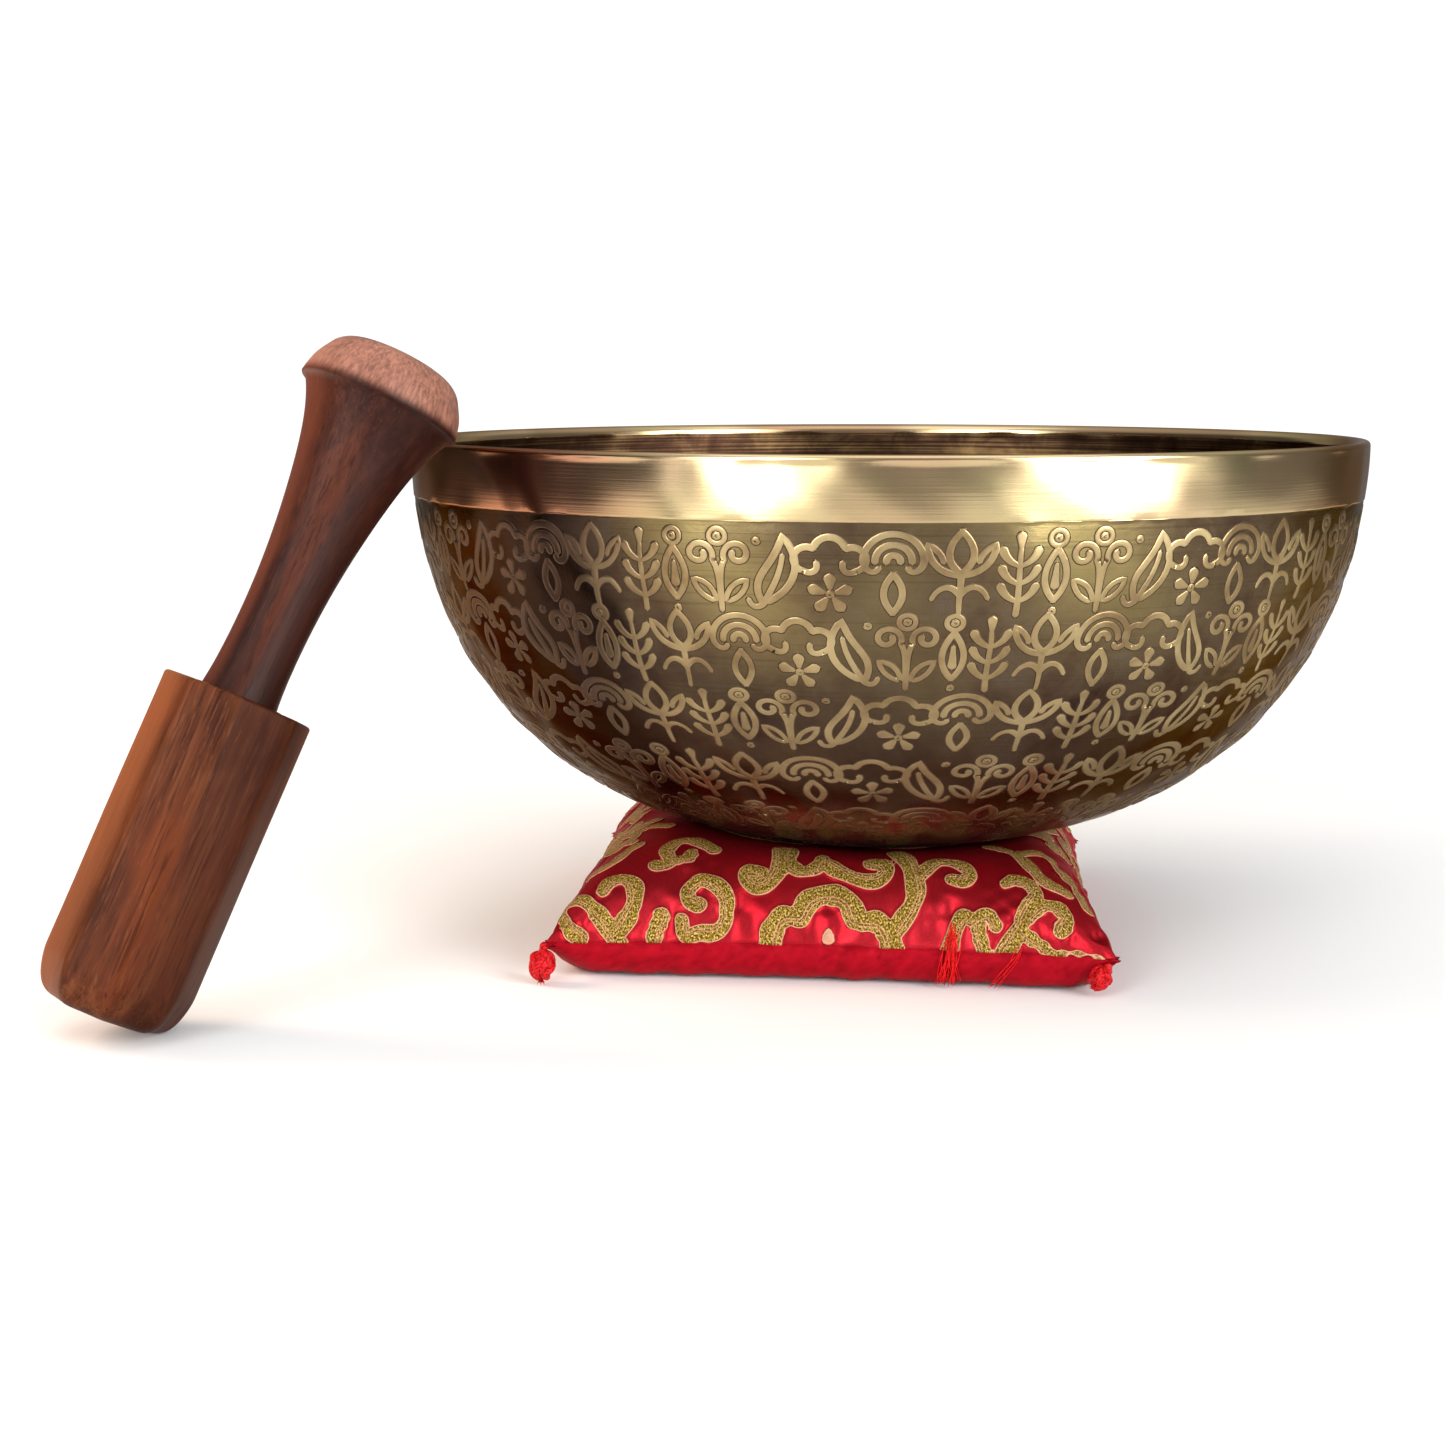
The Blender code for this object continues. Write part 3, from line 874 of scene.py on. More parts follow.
# The cloth is simulated this many times its real size.
CLOTH_SCALE = 10
TOP_EASE = 0.012
CLOTH_SETTINGS = {
    "quality": 6, "mass": 0.15,
    "tension_stiffness": 60, "compression_stiffness": 20, "shear_stiffness": 8, "bending_stiffness": 0.3,
    "tension_damping": 8, "compression_damping": 8, "shear_damping": 8, "air_damping": 2,
    "vertex_group_mass": "seam", "vertex_group_shrink": "lower", "shrink_min": -TOP_EASE, "shrink_max": 0,
    "use_pressure": True, "uniform_pressure_force": 3,
}
CLOTH_CONTACT = {"distance_min": 0.004, "collision_quality": 3, "use_self_collision": False}
PRESS_CONTACT = {"thickness_outer": 0.004, "cloth_friction": 5, "use_culling": False}


def side_station(t):
    """Grid position from -1 to 1 with rows closer together near the edges."""
    return np.sin(np.radians(72 * t)) / math.sin(math.radians(72))


def seam_outline(u, v, inset=0.0):
    """The cushion's plan: sides pulled in between drawn-out corners, the front a little askew."""
    half = CUSHION_HALF - inset
    ear = CORNER_EAR * np.abs(u * v) ** 12
    x = CUSHION_CENTRE.x + half * u * (1 - SIDE_PULL * (1 - v * v)) + ear * np.sign(u)
    y = CUSHION_CENTRE.y + half * v * (1 - SIDE_PULL * (1 - u * u)) + ear * np.sign(v)
    return x, y - FRONT_SKEW * u * (1 - v) / 2


def bowl_underside(x, y):
    share = np.minimum(np.hypot(x, y) / BOWL_RADIUS, 0.95)
    return RIM_HEIGHT - BOWL_HEIGHT * (1 - share ** RADIUS_POWER) ** (1 / DEPTH_POWER)


def bulge(t):
    return np.sqrt(np.clip(1 - np.abs(t) ** 5, 0, 1))


def cut_covers():
    """The two covers as laid out before they are filled: grids of points that share their seam."""
    station = side_station(np.linspace(-1, 1, CLOTH_CELLS + 1))
    u, v = np.meshgrid(station, station, indexing="ij")
    x, y = seam_outline(u, v)
    seam = SEAM_HEIGHT - SEAM_CORNER_DROP * (u * v) ** 4
    crown = seam + TOP_CROWN * bulge(u) * bulge(v)
    top = np.stack([x, y, np.minimum(crown, bowl_underside(x, y) - 1.2 * MM)], axis=-1)

    from_edge = np.minimum(np.arange(CLOTH_CELLS + 1), np.arange(CLOTH_CELLS + 1)[::-1])
    inset = np.interp(from_edge, (0, 1, 2, 3, 4, 5, CLOTH_CELLS / 2),
                      np.array((0, 0.5, 0.9, 2.0, 4.6, 8.2, 77)) * MM)
    base_station = np.sign(station) * (1 - inset / CUSHION_HALF)
    u, v = np.meshgrid(base_station, base_station, indexing="ij")
    x, y = seam_outline(u, v)
    ring = np.minimum.outer(from_edge, from_edge)
    rise = np.interp(ring, (0, 1, 2, 3, 4), (1, 0.68, 0.34, 0.1, 0.05))
    base = np.stack([x, y, rise * SEAM_HEIGHT], axis=-1)
    base[ring == 0] = top[ring == 0]
    return top, base


def collider(name, vertices, faces):
    made = mesh_object(name, vertices, faces, [])
    made.modifiers.new("collision", "COLLISION")
    set_all(made.collision, PRESS_CONTACT)
    return made


def bowl_collider():
    """The bowl's underside as a coarse turned skin."""
    rows, columns = 24, 48
    radius = np.linspace(0.04, 0.9, rows)[:, None] * BOWL_RADIUS
    skin = polar(radius, round_turn(columns), bowl_underside(radius, 0))
    vertices = np.concatenate([skin.reshape(-1, 3), [(0, 0, RIM_HEIGHT - BOWL_HEIGHT)]]) * CLOTH_SCALE
    faces = ring_faces(rows, columns).tolist()
    faces += [[rows * columns, (column + 1) % columns, column] for column in range(columns)]
    return collider("bowl_press", vertices, faces)


def sewn_covers(top, base):
    """One mesh of both covers, and where each grid's points are in it."""
    size = CLOTH_CELLS + 1
    index = np.arange(size * size).reshape(size, size)
    inner = np.zeros((size, size), dtype=bool)
    inner[1:-1, 1:-1] = True
    base_index = index.copy()
    base_index[inner] = size * size + np.arange(inner.sum())
    vertices = np.concatenate([top.reshape(-1, 3), base[inner]]) * CLOTH_SCALE
    quads = np.concatenate([grid_faces(index), grid_faces(base_index)[:, ::-1]])
    covers = mesh_object("cushion_cloth", vertices, quads.tolist(), [])
    for name, places in (("seam", index[~inner]), ("lower", base_index[inner])):
        covers.vertex_groups.new(name=name).add(places.tolist(), 1.0, "REPLACE")
    return covers, index, base_index


def fill_covers():
    """Cloth simulation: the sewn covers swell between the table and the bowl. Gives both grids back."""
    top, base = cut_covers()
    covers, index, base_index = sewn_covers(top, base)
    press = bowl_collider()
    table = collider("table_press", [(-3, -3, 0), (3, -3, 0), (3, 3, 0), (-3, 3, 0)], [(0, 1, 2, 3)])
    cloth = covers.modifiers.new("cloth", "CLOTH")
    set_all(cloth.settings, CLOTH_SETTINGS)
    cloth.settings.effector_weights.gravity = 0
    set_all(cloth.collision_settings, CLOTH_CONTACT)
    cloth.point_cache.frame_start = 1
    cloth.point_cache.frame_end = CLOTH_FRAMES
    for step in range(1, CLOTH_FRAMES + 1):
        bpy.context.scene.frame_set(step)
    filled = covers.evaluated_get(bpy.context.evaluated_depsgraph_get()).to_mesh()
    points = vertex_places(filled) / CLOTH_SCALE
    bpy.context.scene.frame_set(1)
    for helper in (covers, press, table):
        bpy.data.objects.remove(helper, do_unlink=True)
    return points[index], points[base_index]


def grid_faces(index):
    return np.stack([index[:-1, :-1], index[1:, :-1], index[1:, 1:], index[:-1, 1:]], axis=-1).reshape(-1, 4)


def finer(grid, cells):
    """A grid of points read again at more stations along smooth curves through the old ones."""
    old = len(grid) - 1
    place = np.linspace(0, old, cells + 1)
    left = np.minimum(place.astype(int), old - 1)
    t = place - left
    weights = np.zeros((cells + 1, old + 1))
    rows = np.arange(cells + 1)
    shares = (-t / 2 + t ** 2 - t ** 3 / 2, 1 - 2.5 * t ** 2 + 1.5 * t ** 3,
              t / 2 + 2 * t ** 2 - 1.5 * t ** 3, -t ** 2 / 2 + t ** 3 / 2)
    for offset, share in zip((-1, 0, 1, 2), shares):
        column = left + offset
        inside = np.clip(column, 0, old)
        np.add.at(weights, (rows, inside), share)
        for edge, next_in in ((column < 0, 1), (column > old, old - 1)):
            if edge.any():
                np.add.at(weights, (rows[edge], inside[edge]), share[edge])
                np.add.at(weights, (rows[edge], np.full(edge.sum(), next_in)), -share[edge])
    return np.einsum("ai,ijk,bj->abk", weights, grid, weights)


def grid_normals(grid):
    along = np.gradient(grid, axis=0)
    across = np.gradient(grid, axis=1)
    normal = np.cross(along, across)
    return normal / np.maximum(np.linalg.norm(normal, axis=-1, keepdims=True), 1e-12)


def seam_loop(size):
    """Grid places round the edge of a square grid, anticlockwise from above."""
    last = size - 1
    run = np.arange(last)
    i = np.concatenate([run, np.full(last, last), last - run, np.zeros(last, dtype=int)])
    j = np.concatenate([np.zeros(last, dtype=int), run, np.full(last, last), last - run])
    return i, j


def cover_object(name, grid, hem, material, flip, fields):
    """A cover with its edge turned in, by (inwards, up) steps from the seam, and its numbers stored."""
    size = len(grid)
    index = np.arange(size * size).reshape(size, size)
    i, j = seam_loop(size)
    edge = grid[i, j]
    tangent = np.roll(edge, -1, axis=0) - np.roll(edge, 1, axis=0)
    inward = np.stack([-tangent[:, 1], tangent[:, 0]], axis=-1)
    inward /= np.linalg.norm(inward, axis=-1, keepdims=True)
    points = [grid.reshape(-1, 3)]
    loops = [index[i, j]]
    for row, (across, up) in enumerate(hem):
        ring = edge.copy()
        ring[:, :2] += inward * across
        ring[:, 2] += up
        points.append(ring)
        loops.append(size * size + row * len(i) + np.arange(len(i)))
    quads = [grid_faces(index)]
    for first, second in zip(loops, loops[1:]):
        quads.append(np.stack([first, second, np.roll(second, -1), np.roll(first, -1)], axis=-1))
    quads = np.concatenate(quads)
    if flip:
        quads = quads[:, ::-1]
    piece = mesh_object(name, np.concatenate(points), quads.tolist(), [material])
    for key, values in fields.items():
        flat = np.asarray(values).ravel()
        store(piece, key, np.concatenate([flat] + [flat[loops[0]]] * len(hem)))
    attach(piece, "cushion")
    return piece


# ---------------------------------------------------------------- cushion: embroidery

def smooth_line(points, steps=9):
    """A smooth curve through a few points."""
    points = np.array(points, dtype=float)
    padded = np.concatenate([[2 * points[0] - points[1]], points, [2 * points[-1] - points[-2]]])
    t = np.linspace(0, 1, steps, endpoint=False)[:, None]
    pieces = []
    for a, b, c, d in zip(padded, padded[1:], padded[2:], padded[3:]):
        pieces.append(b + t * (c - a) / 2 + t ** 2 * (a - 2.5 * b + 2 * c - d / 2)
                      + t ** 3 * (1.5 * (b - c) + (d - a) / 2))
    return np.concatenate(pieces + [points[-1:]])


# How much broader the scrolls are worked than their rows say.
BAND_BREADTH = 1.14
# Brocade scrolls along one side, in millimetres: half width at the start and at the end, then points
# as (across from the side's middle, in from the seam).
SIDE_SCROLLS = (
    (1.8, 2.4, (-68.5, 1), (-72.5, 3.5), (-76, 8.5), (-76, 13), (-70, 12.5), (-65.5, 8.5), (-62, 4.5),
     (-57.5, -1)),
    (2.0, 2.5, (-63.8, 15), (-62, 18.5), (-58, 19), (-55, 16.5), (-54.5, 12), (-56, 7), (-59, 2)),
    (2.1, 2.3, (-48.3, -1), (-48, 3), (-46.8, 7)),
    (2.2, 2.0, (-36.6, 10.6), (-39.2, 12), (-39.4, 15.5), (-36, 18.3), (-32, 17), (-29, 13.5), (-28.4, 9),
     (-29.2, 5), (-31.5, 2.8), (-35.5, 2.6), (-39.6, 1.8), (-41, 6)),
    (2.0, 2.1, (-49, 24), (-45, 25), (-46.5, 31), (-44, 36.5), (-40, 37), (-36, 34), (-33, 31)),
    (1.8, 1.8, (-44, 25.5), (-40, 27), (-39.3, 30)),
    (2.3, 2.1, (-14.3, 31), (-13.8, 25), (-14.6, 21), (-17, 17.3), (-20.3, 16.2), (-23.2, 18.5),
     (-23, 21.3), (-19.5, 21)),
    (2.0, 2.0, (-11.3, 30.5), (-11.2, 25), (-8, 21.8), (-4, 23), (-2.2, 26.5)),
    (3.1, 2.6, (-16, -1), (-15.4, 4), (-12.6, 7.5), (-8.4, 7.6)),
    (2.9, 2.9, (-8, 7.5), (-5.8, 12), (-1.8, 14.3), (2, 14.3), (5.6, 12), (7.6, 7.8)),
    (2.6, 3.1, (9.5, 6.8), (13.5, 6.8), (16.3, 4), (17.6, -1)),
    (2.3, 2.5, (17.5, 3), (20.3, 7.5), (22.8, 11.5), (24, 16), (23.2, 21.5), (21.5, 27), (18.5, 32)),
    (1.8, 2.1, (25, 21), (29.4, 27), (34, 27.6), (37.5, 25.8), (39, 22.5), (37, 20.2), (34, 20.6)),
    (2.3, 2.1, (11.5, 25.3), (15, 25), (15.5, 21.5), (12.5, 19), (7.5, 19.5), (2.5, 22), (-1.5, 24.8)),
    (2.1, 1.9, (33, -1), (35, 5.5), (37.2, 9), (40.2, 8.2), (44, 9.8), (46, 7)),
    (1.9, 2.0, (41.2, 7.5), (41.5, 4), (42.8, -1)),
    (2.0, 2.3, (49, 20.5), (51.3, 22), (54.8, 20.8), (57, 16.8), (55.2, 13), (53.6, 9.5), (52.2, 6),
     (50, 2.5), (47.5, -1)),
    (1.9, 2.1, (55, 9.5), (58.7, 13.4), (63, 13.5), (65.6, 10), (64, 6.8)),
    (2.1, 1.3, (54, 5), (58, 2.4), (62, -0.5)),
    (0.9, 0.4, (62, 0.3), (68, 0.9), (75, 0.2)),
    (1.9, 2.3, (45, 42), (52, 38), (56.5, 28.5), (60, 23), (66, 20.5)),
    (2.0, 2.2, (54, 40), (61, 46), (65.5, 37), (69.5, 29), (73, 18)),
    (2.1, 1.8, (-70, 27), (-63, 29), (-58.5, 35.5), (-55.5, 39)),
    (1.8, 1.8, (-72, 58), (-63, 48.5), (-58.5, 43.5)),
    (1.8, 2.0, (-59, 56.5), (-53.5, 58), (-49, 56)),
)
# The scrolls round the middle of a side, which are the ones on the left and right sides too.
SIDE_CORE = slice(6, 14)
# Scrolls from the cloth's centre, repeated by quarter turns and mirrored.
ROSETTE_SCROLLS = (
    (2.3, 1.9, (0, 7), (4.5, 13), (12, 16), (18, 12.5), (17, 7), (12.5, 7.5)),
    (2.0, 1.8, (0, 16), (3.4, 24), (10.5, 29), (18, 27), (20, 21.5), (15.5, 20)),
    (2.2, 2.2, (9, 30.5), (15, 35), (23.5, 34), (28.5, 27.5), (25, 22.5)),
)


def scroll_lines(rows):
    return [(smooth_line(points), first * BAND_BREADTH, last * BAND_BREADTH) for first, last, *points in rows]


def turned_lines(lines, quarter, mirror=False):
    """Scrolls turned by quarter turns about the cloth's centre, or mirrored left to right first."""
    angle = quarter * math.pi / 2
    spin = np.array([[math.cos(angle), -math.sin(angle)], [math.sin(angle), math.cos(angle)]])
    flip = np.array([-1, 1]) if mirror else np.array([1, 1])
    return [((line * flip) @ spin.T, first, last) for line, first, last in lines]


def band_field(spots, lines, field, side):
    """Raises field to how far each spot is inside the nearest band, and notes its place across it."""
    for line, first, last in lines:
        reach = max(first, last) + 2
        near = np.all((spots > line.min(axis=0) - reach) & (spots < line.max(axis=0) + reach), axis=-1)
        near = np.flatnonzero(near)
        if not len(near):
            continue
        run = np.diff(line, axis=0)
        rel = spots[near][:, None, :] - line[None, :-1, :]
        t = np.clip((rel * run).sum(axis=-1) / np.maximum((run ** 2).sum(axis=-1), 1e-9), 0, 1)
        gap = rel - t[..., None] * run
        distance = np.hypot(gap[..., 0], gap[..., 1])
        best = distance.argmin(axis=1)
        pick = np.arange(len(near))
        share = (best + t[pick, best]) / len(run)
        half = first + (last - first) * share + 0.26 * np.sin(share * 17 + line[0, 0])
        inside = half - distance[pick, best]
        turn = run[best, 0] * gap[pick, best, 1] - run[best, 1] * gap[pick, best, 0]
        better = inside > field[near]
        field[near[better]] = inside[better]
        side[near[better]] = (np.sign(turn) * distance[pick, best] / half)[better]


def arc_length(grid, axis):
    step = np.linalg.norm(np.diff(grid, axis=axis), axis=-1)
    pad = [(1, 0), (0, 0)] if axis == 0 else [(0, 0), (1, 0)]
    return np.pad(np.cumsum(step, axis=axis), pad) / MM


def embroidery_fields(grid):
    """Cloth coordinates in millimetres, and the embroidered bands read along them."""
    across = arc_length(grid, 0)
    upward = arc_length(grid, 1)
    middle = len(grid) // 2
    from_centre = np.stack([across - across[[middle]], upward - upward[:, [middle]]], axis=-1)
    from_right = across[-1:] - across
    from_back = upward[:, -1:] - upward
    field = np.full(across.size, -9.0)
    side = np.zeros(across.size)
    whole = scroll_lines(SIDE_SCROLLS)
    core = whole[SIDE_CORE]
    views = ((from_centre[..., 0], upward, whole), (-from_centre[..., 0], from_back, whole),
             (from_centre[..., 1], from_right, core), (-from_centre[..., 1], across, core))
    for sideways, inward, lines in views:
        spots = np.stack([sideways, inward], axis=-1).reshape(-1, 2)
        band_field(spots, lines, field, side)
    spots = from_centre.reshape(-1, 2)
    rosette = scroll_lines(ROSETTE_SCROLLS)
    for quarter in range(4):
        band_field(spots, turned_lines(rosette, quarter), field, side)
        band_field(spots, turned_lines(rosette, quarter, mirror=True), field, side)
    seed_up = (upward.ravel() - 2.5) / 2.6
    seed = np.hypot(from_centre[..., 0].ravel() / (1.9 * (1 - 0.4 * np.clip(seed_up, -1, 1))), seed_up)
    return {"band": field, "band_side": side, "seed": 1 - seed,
            "warp": from_centre[..., 0], "weft": from_centre[..., 1]}


# ---------------------------------------------------------------- cushion: materials

def cloth_place(shade):
    """Coordinates in millimetres along the cloth's threads."""
    return shade.node("CombineXYZ", shade.stored("warp"), shade.stored("weft"), 0.0).outputs[0]


def brocade_material():
    """Red satin with gold embroidered bands, each with a cord round it and two veins along it."""
    shade = Shade("brocade")
    band = shade.stored("band")
    side = shade.stored("band_side")
    seed = shade.stored("seed")
    cloth = cloth_place(shade)
    floats = shade.noise(1.0, (1.3, 9.0, 1.0), 2.0, place=cloth)
    stitches = shade.noise(1.0, (3.0, 1.6, 1.0), 2.0, place=cloth, turn=(0, 0, 0.7))
    knots = shade.noise(1.0, (1.7, 1.7, 1.0), 2.0, place=cloth)
    shadows = shade.noise(45, detail=3)

    red = shade.ramp(shade.mix(0.4, floats, shadows),
                     (0.35, (0.29, 0.005, 0.011)), (0.62, (0.48, 0.02, 0.031)))
    gold = shade.ramp(shade.mix(0.5, stitches, knots),
                      (0.4, (0.05, 0.022, 0.006)), (0.47, (0.15, 0.088, 0.014)),
                      (0.53, (0.27, 0.18, 0.03)), (0.6, (0.6, 0.44, 0.13)))

    inside = shade.step(band, -0.05, 0.1)
    rim = shade.minus(shade.step(band, -0.1, 0.05), shade.step(band, 0.28, 0.44))
    vein = 0.0
    for place in (0.2, 0.5):
        off = shade.math("ABSOLUTE", shade.math("ADD", side, place))
        line = shade.minus(0.8, shade.times(shade.step(off, 0.015, 0.075), 0.8))
        vein = shade.math("MAXIMUM", line, vein)
    vein = shade.times(vein, shade.step(band, 0.4, 0.6))
    bead = shade.step(seed, 0.0, 0.12)
    bead_core = shade.step(seed, 0.3, 0.45)
    thread = shade.math("MAXIMUM", shade.math("MAXIMUM", rim, vein), shade.minus(bead, bead_core))

    worked = shade.math("MAXIMUM", inside, bead)
    colour = shade.mix(worked, red, gold)
    colour = shade.mix(bead_core, colour, (0.5, 0.28, 0.19))
    colour = shade.mix(shade.times(thread, 0.95), colour, (0.66, 0.32, 0.2))
    rough = shade.mix(worked, shade.span(floats, 0.27, 0.4), (0.46, 0.46, 0.46))

    weave = shade.bump(floats, 0.035 * MM)
    stitched = shade.bump(shade.times(shade.mix(0.5, stitches, knots), worked), 0.5 * MM, weave)
    corded = shade.bump(thread, 0.16 * MM, stitched)
    return shade.finish(Base_Color=colour, Metallic=shade.span(worked, 0.8, 0.3), Roughness=rough,
                        Normal=corded, Specular_IOR_Level=0.15, Specular_Tint=(0.6, 0.05, 0.06))


def satin_material():
    shade = Shade("satin")
    cloth = cloth_place(shade)
    fine = shade.noise(1.0, (5.0, 5.0, 1.0), 2.0, place=cloth)
    slubs = shade.noise(1.0, (0.35, 0.35, 1.0), 2.0, place=cloth)
    colour = shade.ramp(shade.mix(0.6, fine, slubs),
                        (0.36, (0.21, 0.002, 0.007)), (0.64, (0.35, 0.004, 0.012)))
    return shade.finish(Base_Color=colour, Metallic=0.2, Roughness=shade.span(slubs, 0.42, 0.58),
                        Normal=shade.bump(shade.mix(0.5, fine, slubs), 0.05 * MM),
                        Specular_IOR_Level=0.2, Specular_Tint=(0.9, 0.14, 0.16))


def wadding_material():
    shade = Shade("wadding")
    tufts = shade.noise(240, detail=6, roughness=0.7, distortion=1.2)
    colour = shade.ramp(tufts, (0.35, (0.66, 0.63, 0.57)), (0.65, (0.86, 0.84, 0.79)))
    return shade.finish(Base_Color=colour, Roughness=0.95, Normal=shade.bump(tufts, 0.8 * MM),
                        Sheen_Weight=0.3)


def cord_material(name, shadow, lit):
    shade = Shade(name)
    ply = shade.stored("ply")
    fibre = shade.noise(1500, detail=2)
    colour = shade.mix(shade.step(ply, 0.1, 0.8), shadow, lit)
    twisted = shade.bump(ply, 0.3 * MM)
    return shade.finish(Base_Color=colour, Roughness=0.48, Normal=shade.bump(fibre, 0.05 * MM, twisted),
                        Specular_IOR_Level=0.2)


# ---------------------------------------------------------------- cushion: pieces

BROCADE_CELLS = 250
BASE_CELLS = 190
CORNER_LIFT_REACH = 19 * MM
BAND_RELIEF = 0.4 * MM
SEED_RELIEF = 0.7 * MM
TOP_PUCKER = 0.28 * MM
BASE_PUCKER = 0.55 * MM
CREASE_DEPTH = 0.12 * MM
BOWL_CLEARANCE = 0.3 * MM
PUCKER = Ripple(21, 5 * MM, 16 * MM)
CREASE = Ripple(8, 14 * MM, 40 * MM)


def puckers(grid, amount, reach):
    """Small ripples square to the seam, fading over about reach millimetres of cloth."""
    i, j = np.indices(grid.shape[:2])
    last = len(grid) - 1
    across = arc_length(grid, 0)
    upward = arc_length(grid, 1)
    depth = np.minimum(np.minimum(across, across[-1:] - across), np.minimum(upward, upward[:, -1:] - upward))
    flat = grid.copy()
    flat[..., 2] = 0
    along_side = np.minimum(i, last - i) < np.minimum(j, last - j)
    flat[..., 0] = np.where(along_side, np.sign(i - last / 2) * CUSHION_HALF, flat[..., 0])
    flat[..., 1] = np.where(along_side, flat[..., 1], np.sign(j - last / 2) * CUSHION_HALF)
    fade = np.exp(-depth / reach) * smooth_step(depth, 0, 1.5)
    return amount * fade * PUCKER.at(flat)


def raised_corners(grid):
    """The lower cover rises off the table to the seam at each of its corners."""
    lift = np.zeros(grid.shape[:2])
    for corner in (grid[0, 0], grid[0, -1], grid[-1, 0], grid[-1, -1]):
        away = np.abs(grid[..., :2] - corner[:2]).sum(axis=-1)
        near = np.clip(1 - away / CORNER_LIFT_REACH, 0, 1) ** 1.2
        lift = np.maximum(lift, near * np.maximum(corner[2] - grid[..., 2], 0))
    raised = grid.copy()
    raised[..., 2] += lift
    return raised


def make_brocade(top):
    """The upper cover, kept clear of the bowl, with its embroidery raised. Gives its grid back."""
    top = finer(top, BROCADE_CELLS)
    fields = embroidery_fields(top)
    relief = BAND_RELIEF * smooth_step(fields["band"], -0.25, 0.35)
    relief = np.maximum(relief, SEED_RELIEF * smooth_step(fields["seed"], 0, 0.7)).reshape(top.shape[:2])
    room = bowl_underside(top[..., 0], top[..., 1]) - BOWL_CLEARANCE - top[..., 2]
    lift = relief + puckers(top, TOP_PUCKER, 7) + CREASE_DEPTH * CREASE.at(top)
    lift = np.where(room < lift + 0.2 * MM, np.minimum(lift, np.maximum(room, -0.4 * MM)), lift)
    lifted = top + grid_normals(top) * lift[..., None]
    hem = ((0.5 * MM, -0.55 * MM), (1.6 * MM, -0.75 * MM), (3.2 * MM, -0.6 * MM))
    brocade = cover_object("cushion_brocade", lifted, hem, brocade_material(), False, fields)
    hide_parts("cushion_brocade_cover")
    return lifted


def make_satin(base):
    """The lower cover, kept above the table. Gives its grid back."""
    base = raised_corners(finer(base, BASE_CELLS))
    base[..., 2] = np.maximum(base[..., 2], 0.3 * MM)
    lowered = base - grid_normals(base) * puckers(base, BASE_PUCKER, 11)[..., None]
    lowered[..., 2] = np.maximum(lowered[..., 2], 0.15 * MM)
    hem = ((0.5 * MM, 0.3 * MM), (1.6 * MM, 0.45 * MM), (3.2 * MM, 0.3 * MM))
    threads = {"warp": arc_length(base, 0), "weft": arc_length(base, 1)}
    satin = cover_object("cushion_base", lowered, hem, satin_material(), True, threads)
    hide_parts("cushion_base_cover")
    return lowered


def make_cushion():
    top, base = fill_covers()
    wadding = wadding_material()
    for slot in frame["nodes"]["cushion_filling"].material_slots:
        slot.material = wadding
    return make_brocade(top), make_satin(base)


# ---------------------------------------------------------------- corner knots and loose threads

def tube(path, radius, sides, plies, closed=False):
    """A tube along a path: points, quads and a number that winds round it like the plies of a cord."""
    path = np.asarray(path)
    if closed:
        tangent = np.roll(path, -1, axis=0) - np.roll(path, 1, axis=0)
    else:
        tangent = np.gradient(path, axis=0)
    tangent /= np.linalg.norm(tangent, axis=1, keepdims=True)
    normal = np.cross(tangent[0], (0.31, 0.17, 0.94))
    normals = []
    for way in tangent:
        normal = normal - way * normal.dot(way)
        normal /= np.linalg.norm(normal)
        normals.append(normal)
    normals = np.array(normals)
    others = np.cross(tangent, normals)
    turn = round_turn(sides)
    radius = np.broadcast_to(radius, len(path))[:, None, None]
    ring = normals[:, None] * np.cos(turn)[:, None] + others[:, None] * np.sin(turn)[:, None]
    points = path[:, None] + ring * radius
    run = np.concatenate([[0], np.cumsum(np.linalg.norm(np.diff(path, axis=0), axis=1))])
    winding = (plies * turn[None, :] / (2 * math.pi) + run[:, None] / (2.4 * MM) * plies / 2) % 1
    ply = 1 - np.abs(2 * winding - 1)
    faces = ring_faces(len(path), sides)
    if closed:
        shift = closing_shift(points)
        column = np.arange(sides)
        after = (column + 1) % sides
        last = (len(path) - 1) * sides
        closing = np.stack([last + column, last + after, (after + shift) % sides, (column + shift) % sides],
                           axis=-1)
        faces = np.concatenate([faces, closing])
    return points.reshape(-1, 3), faces.tolist(), ply.ravel()


def closing_shift(points):
    """How many places the first ring of a closed tube is turned from its last one."""
    last, first = points[-1], points[0]
    gaps = [np.linalg.norm(last - np.roll(first, -shift, axis=0)) for shift in range(len(first))]
    return int(np.argmin(gaps))


def capped_tube(path, radius, sides, plies):
    points, faces, ply = tube(path, radius, sides, plies)
    last = (len(path) - 1) * sides
    faces.append(list(range(sides))[::-1])
    faces.append([last + side for side in range(sides)])
    return points, faces, ply


def pointed_tube(path, radius, sides, plies):
    """A tube that thins to a point at both ends."""
    ends = np.linspace(0, 1, len(path))
    taper = np.minimum(1, np.minimum(ends, 1 - ends) * len(path) / 1.5 + 0.05)
    return capped_tube(path, radius * taper, sides, plies)


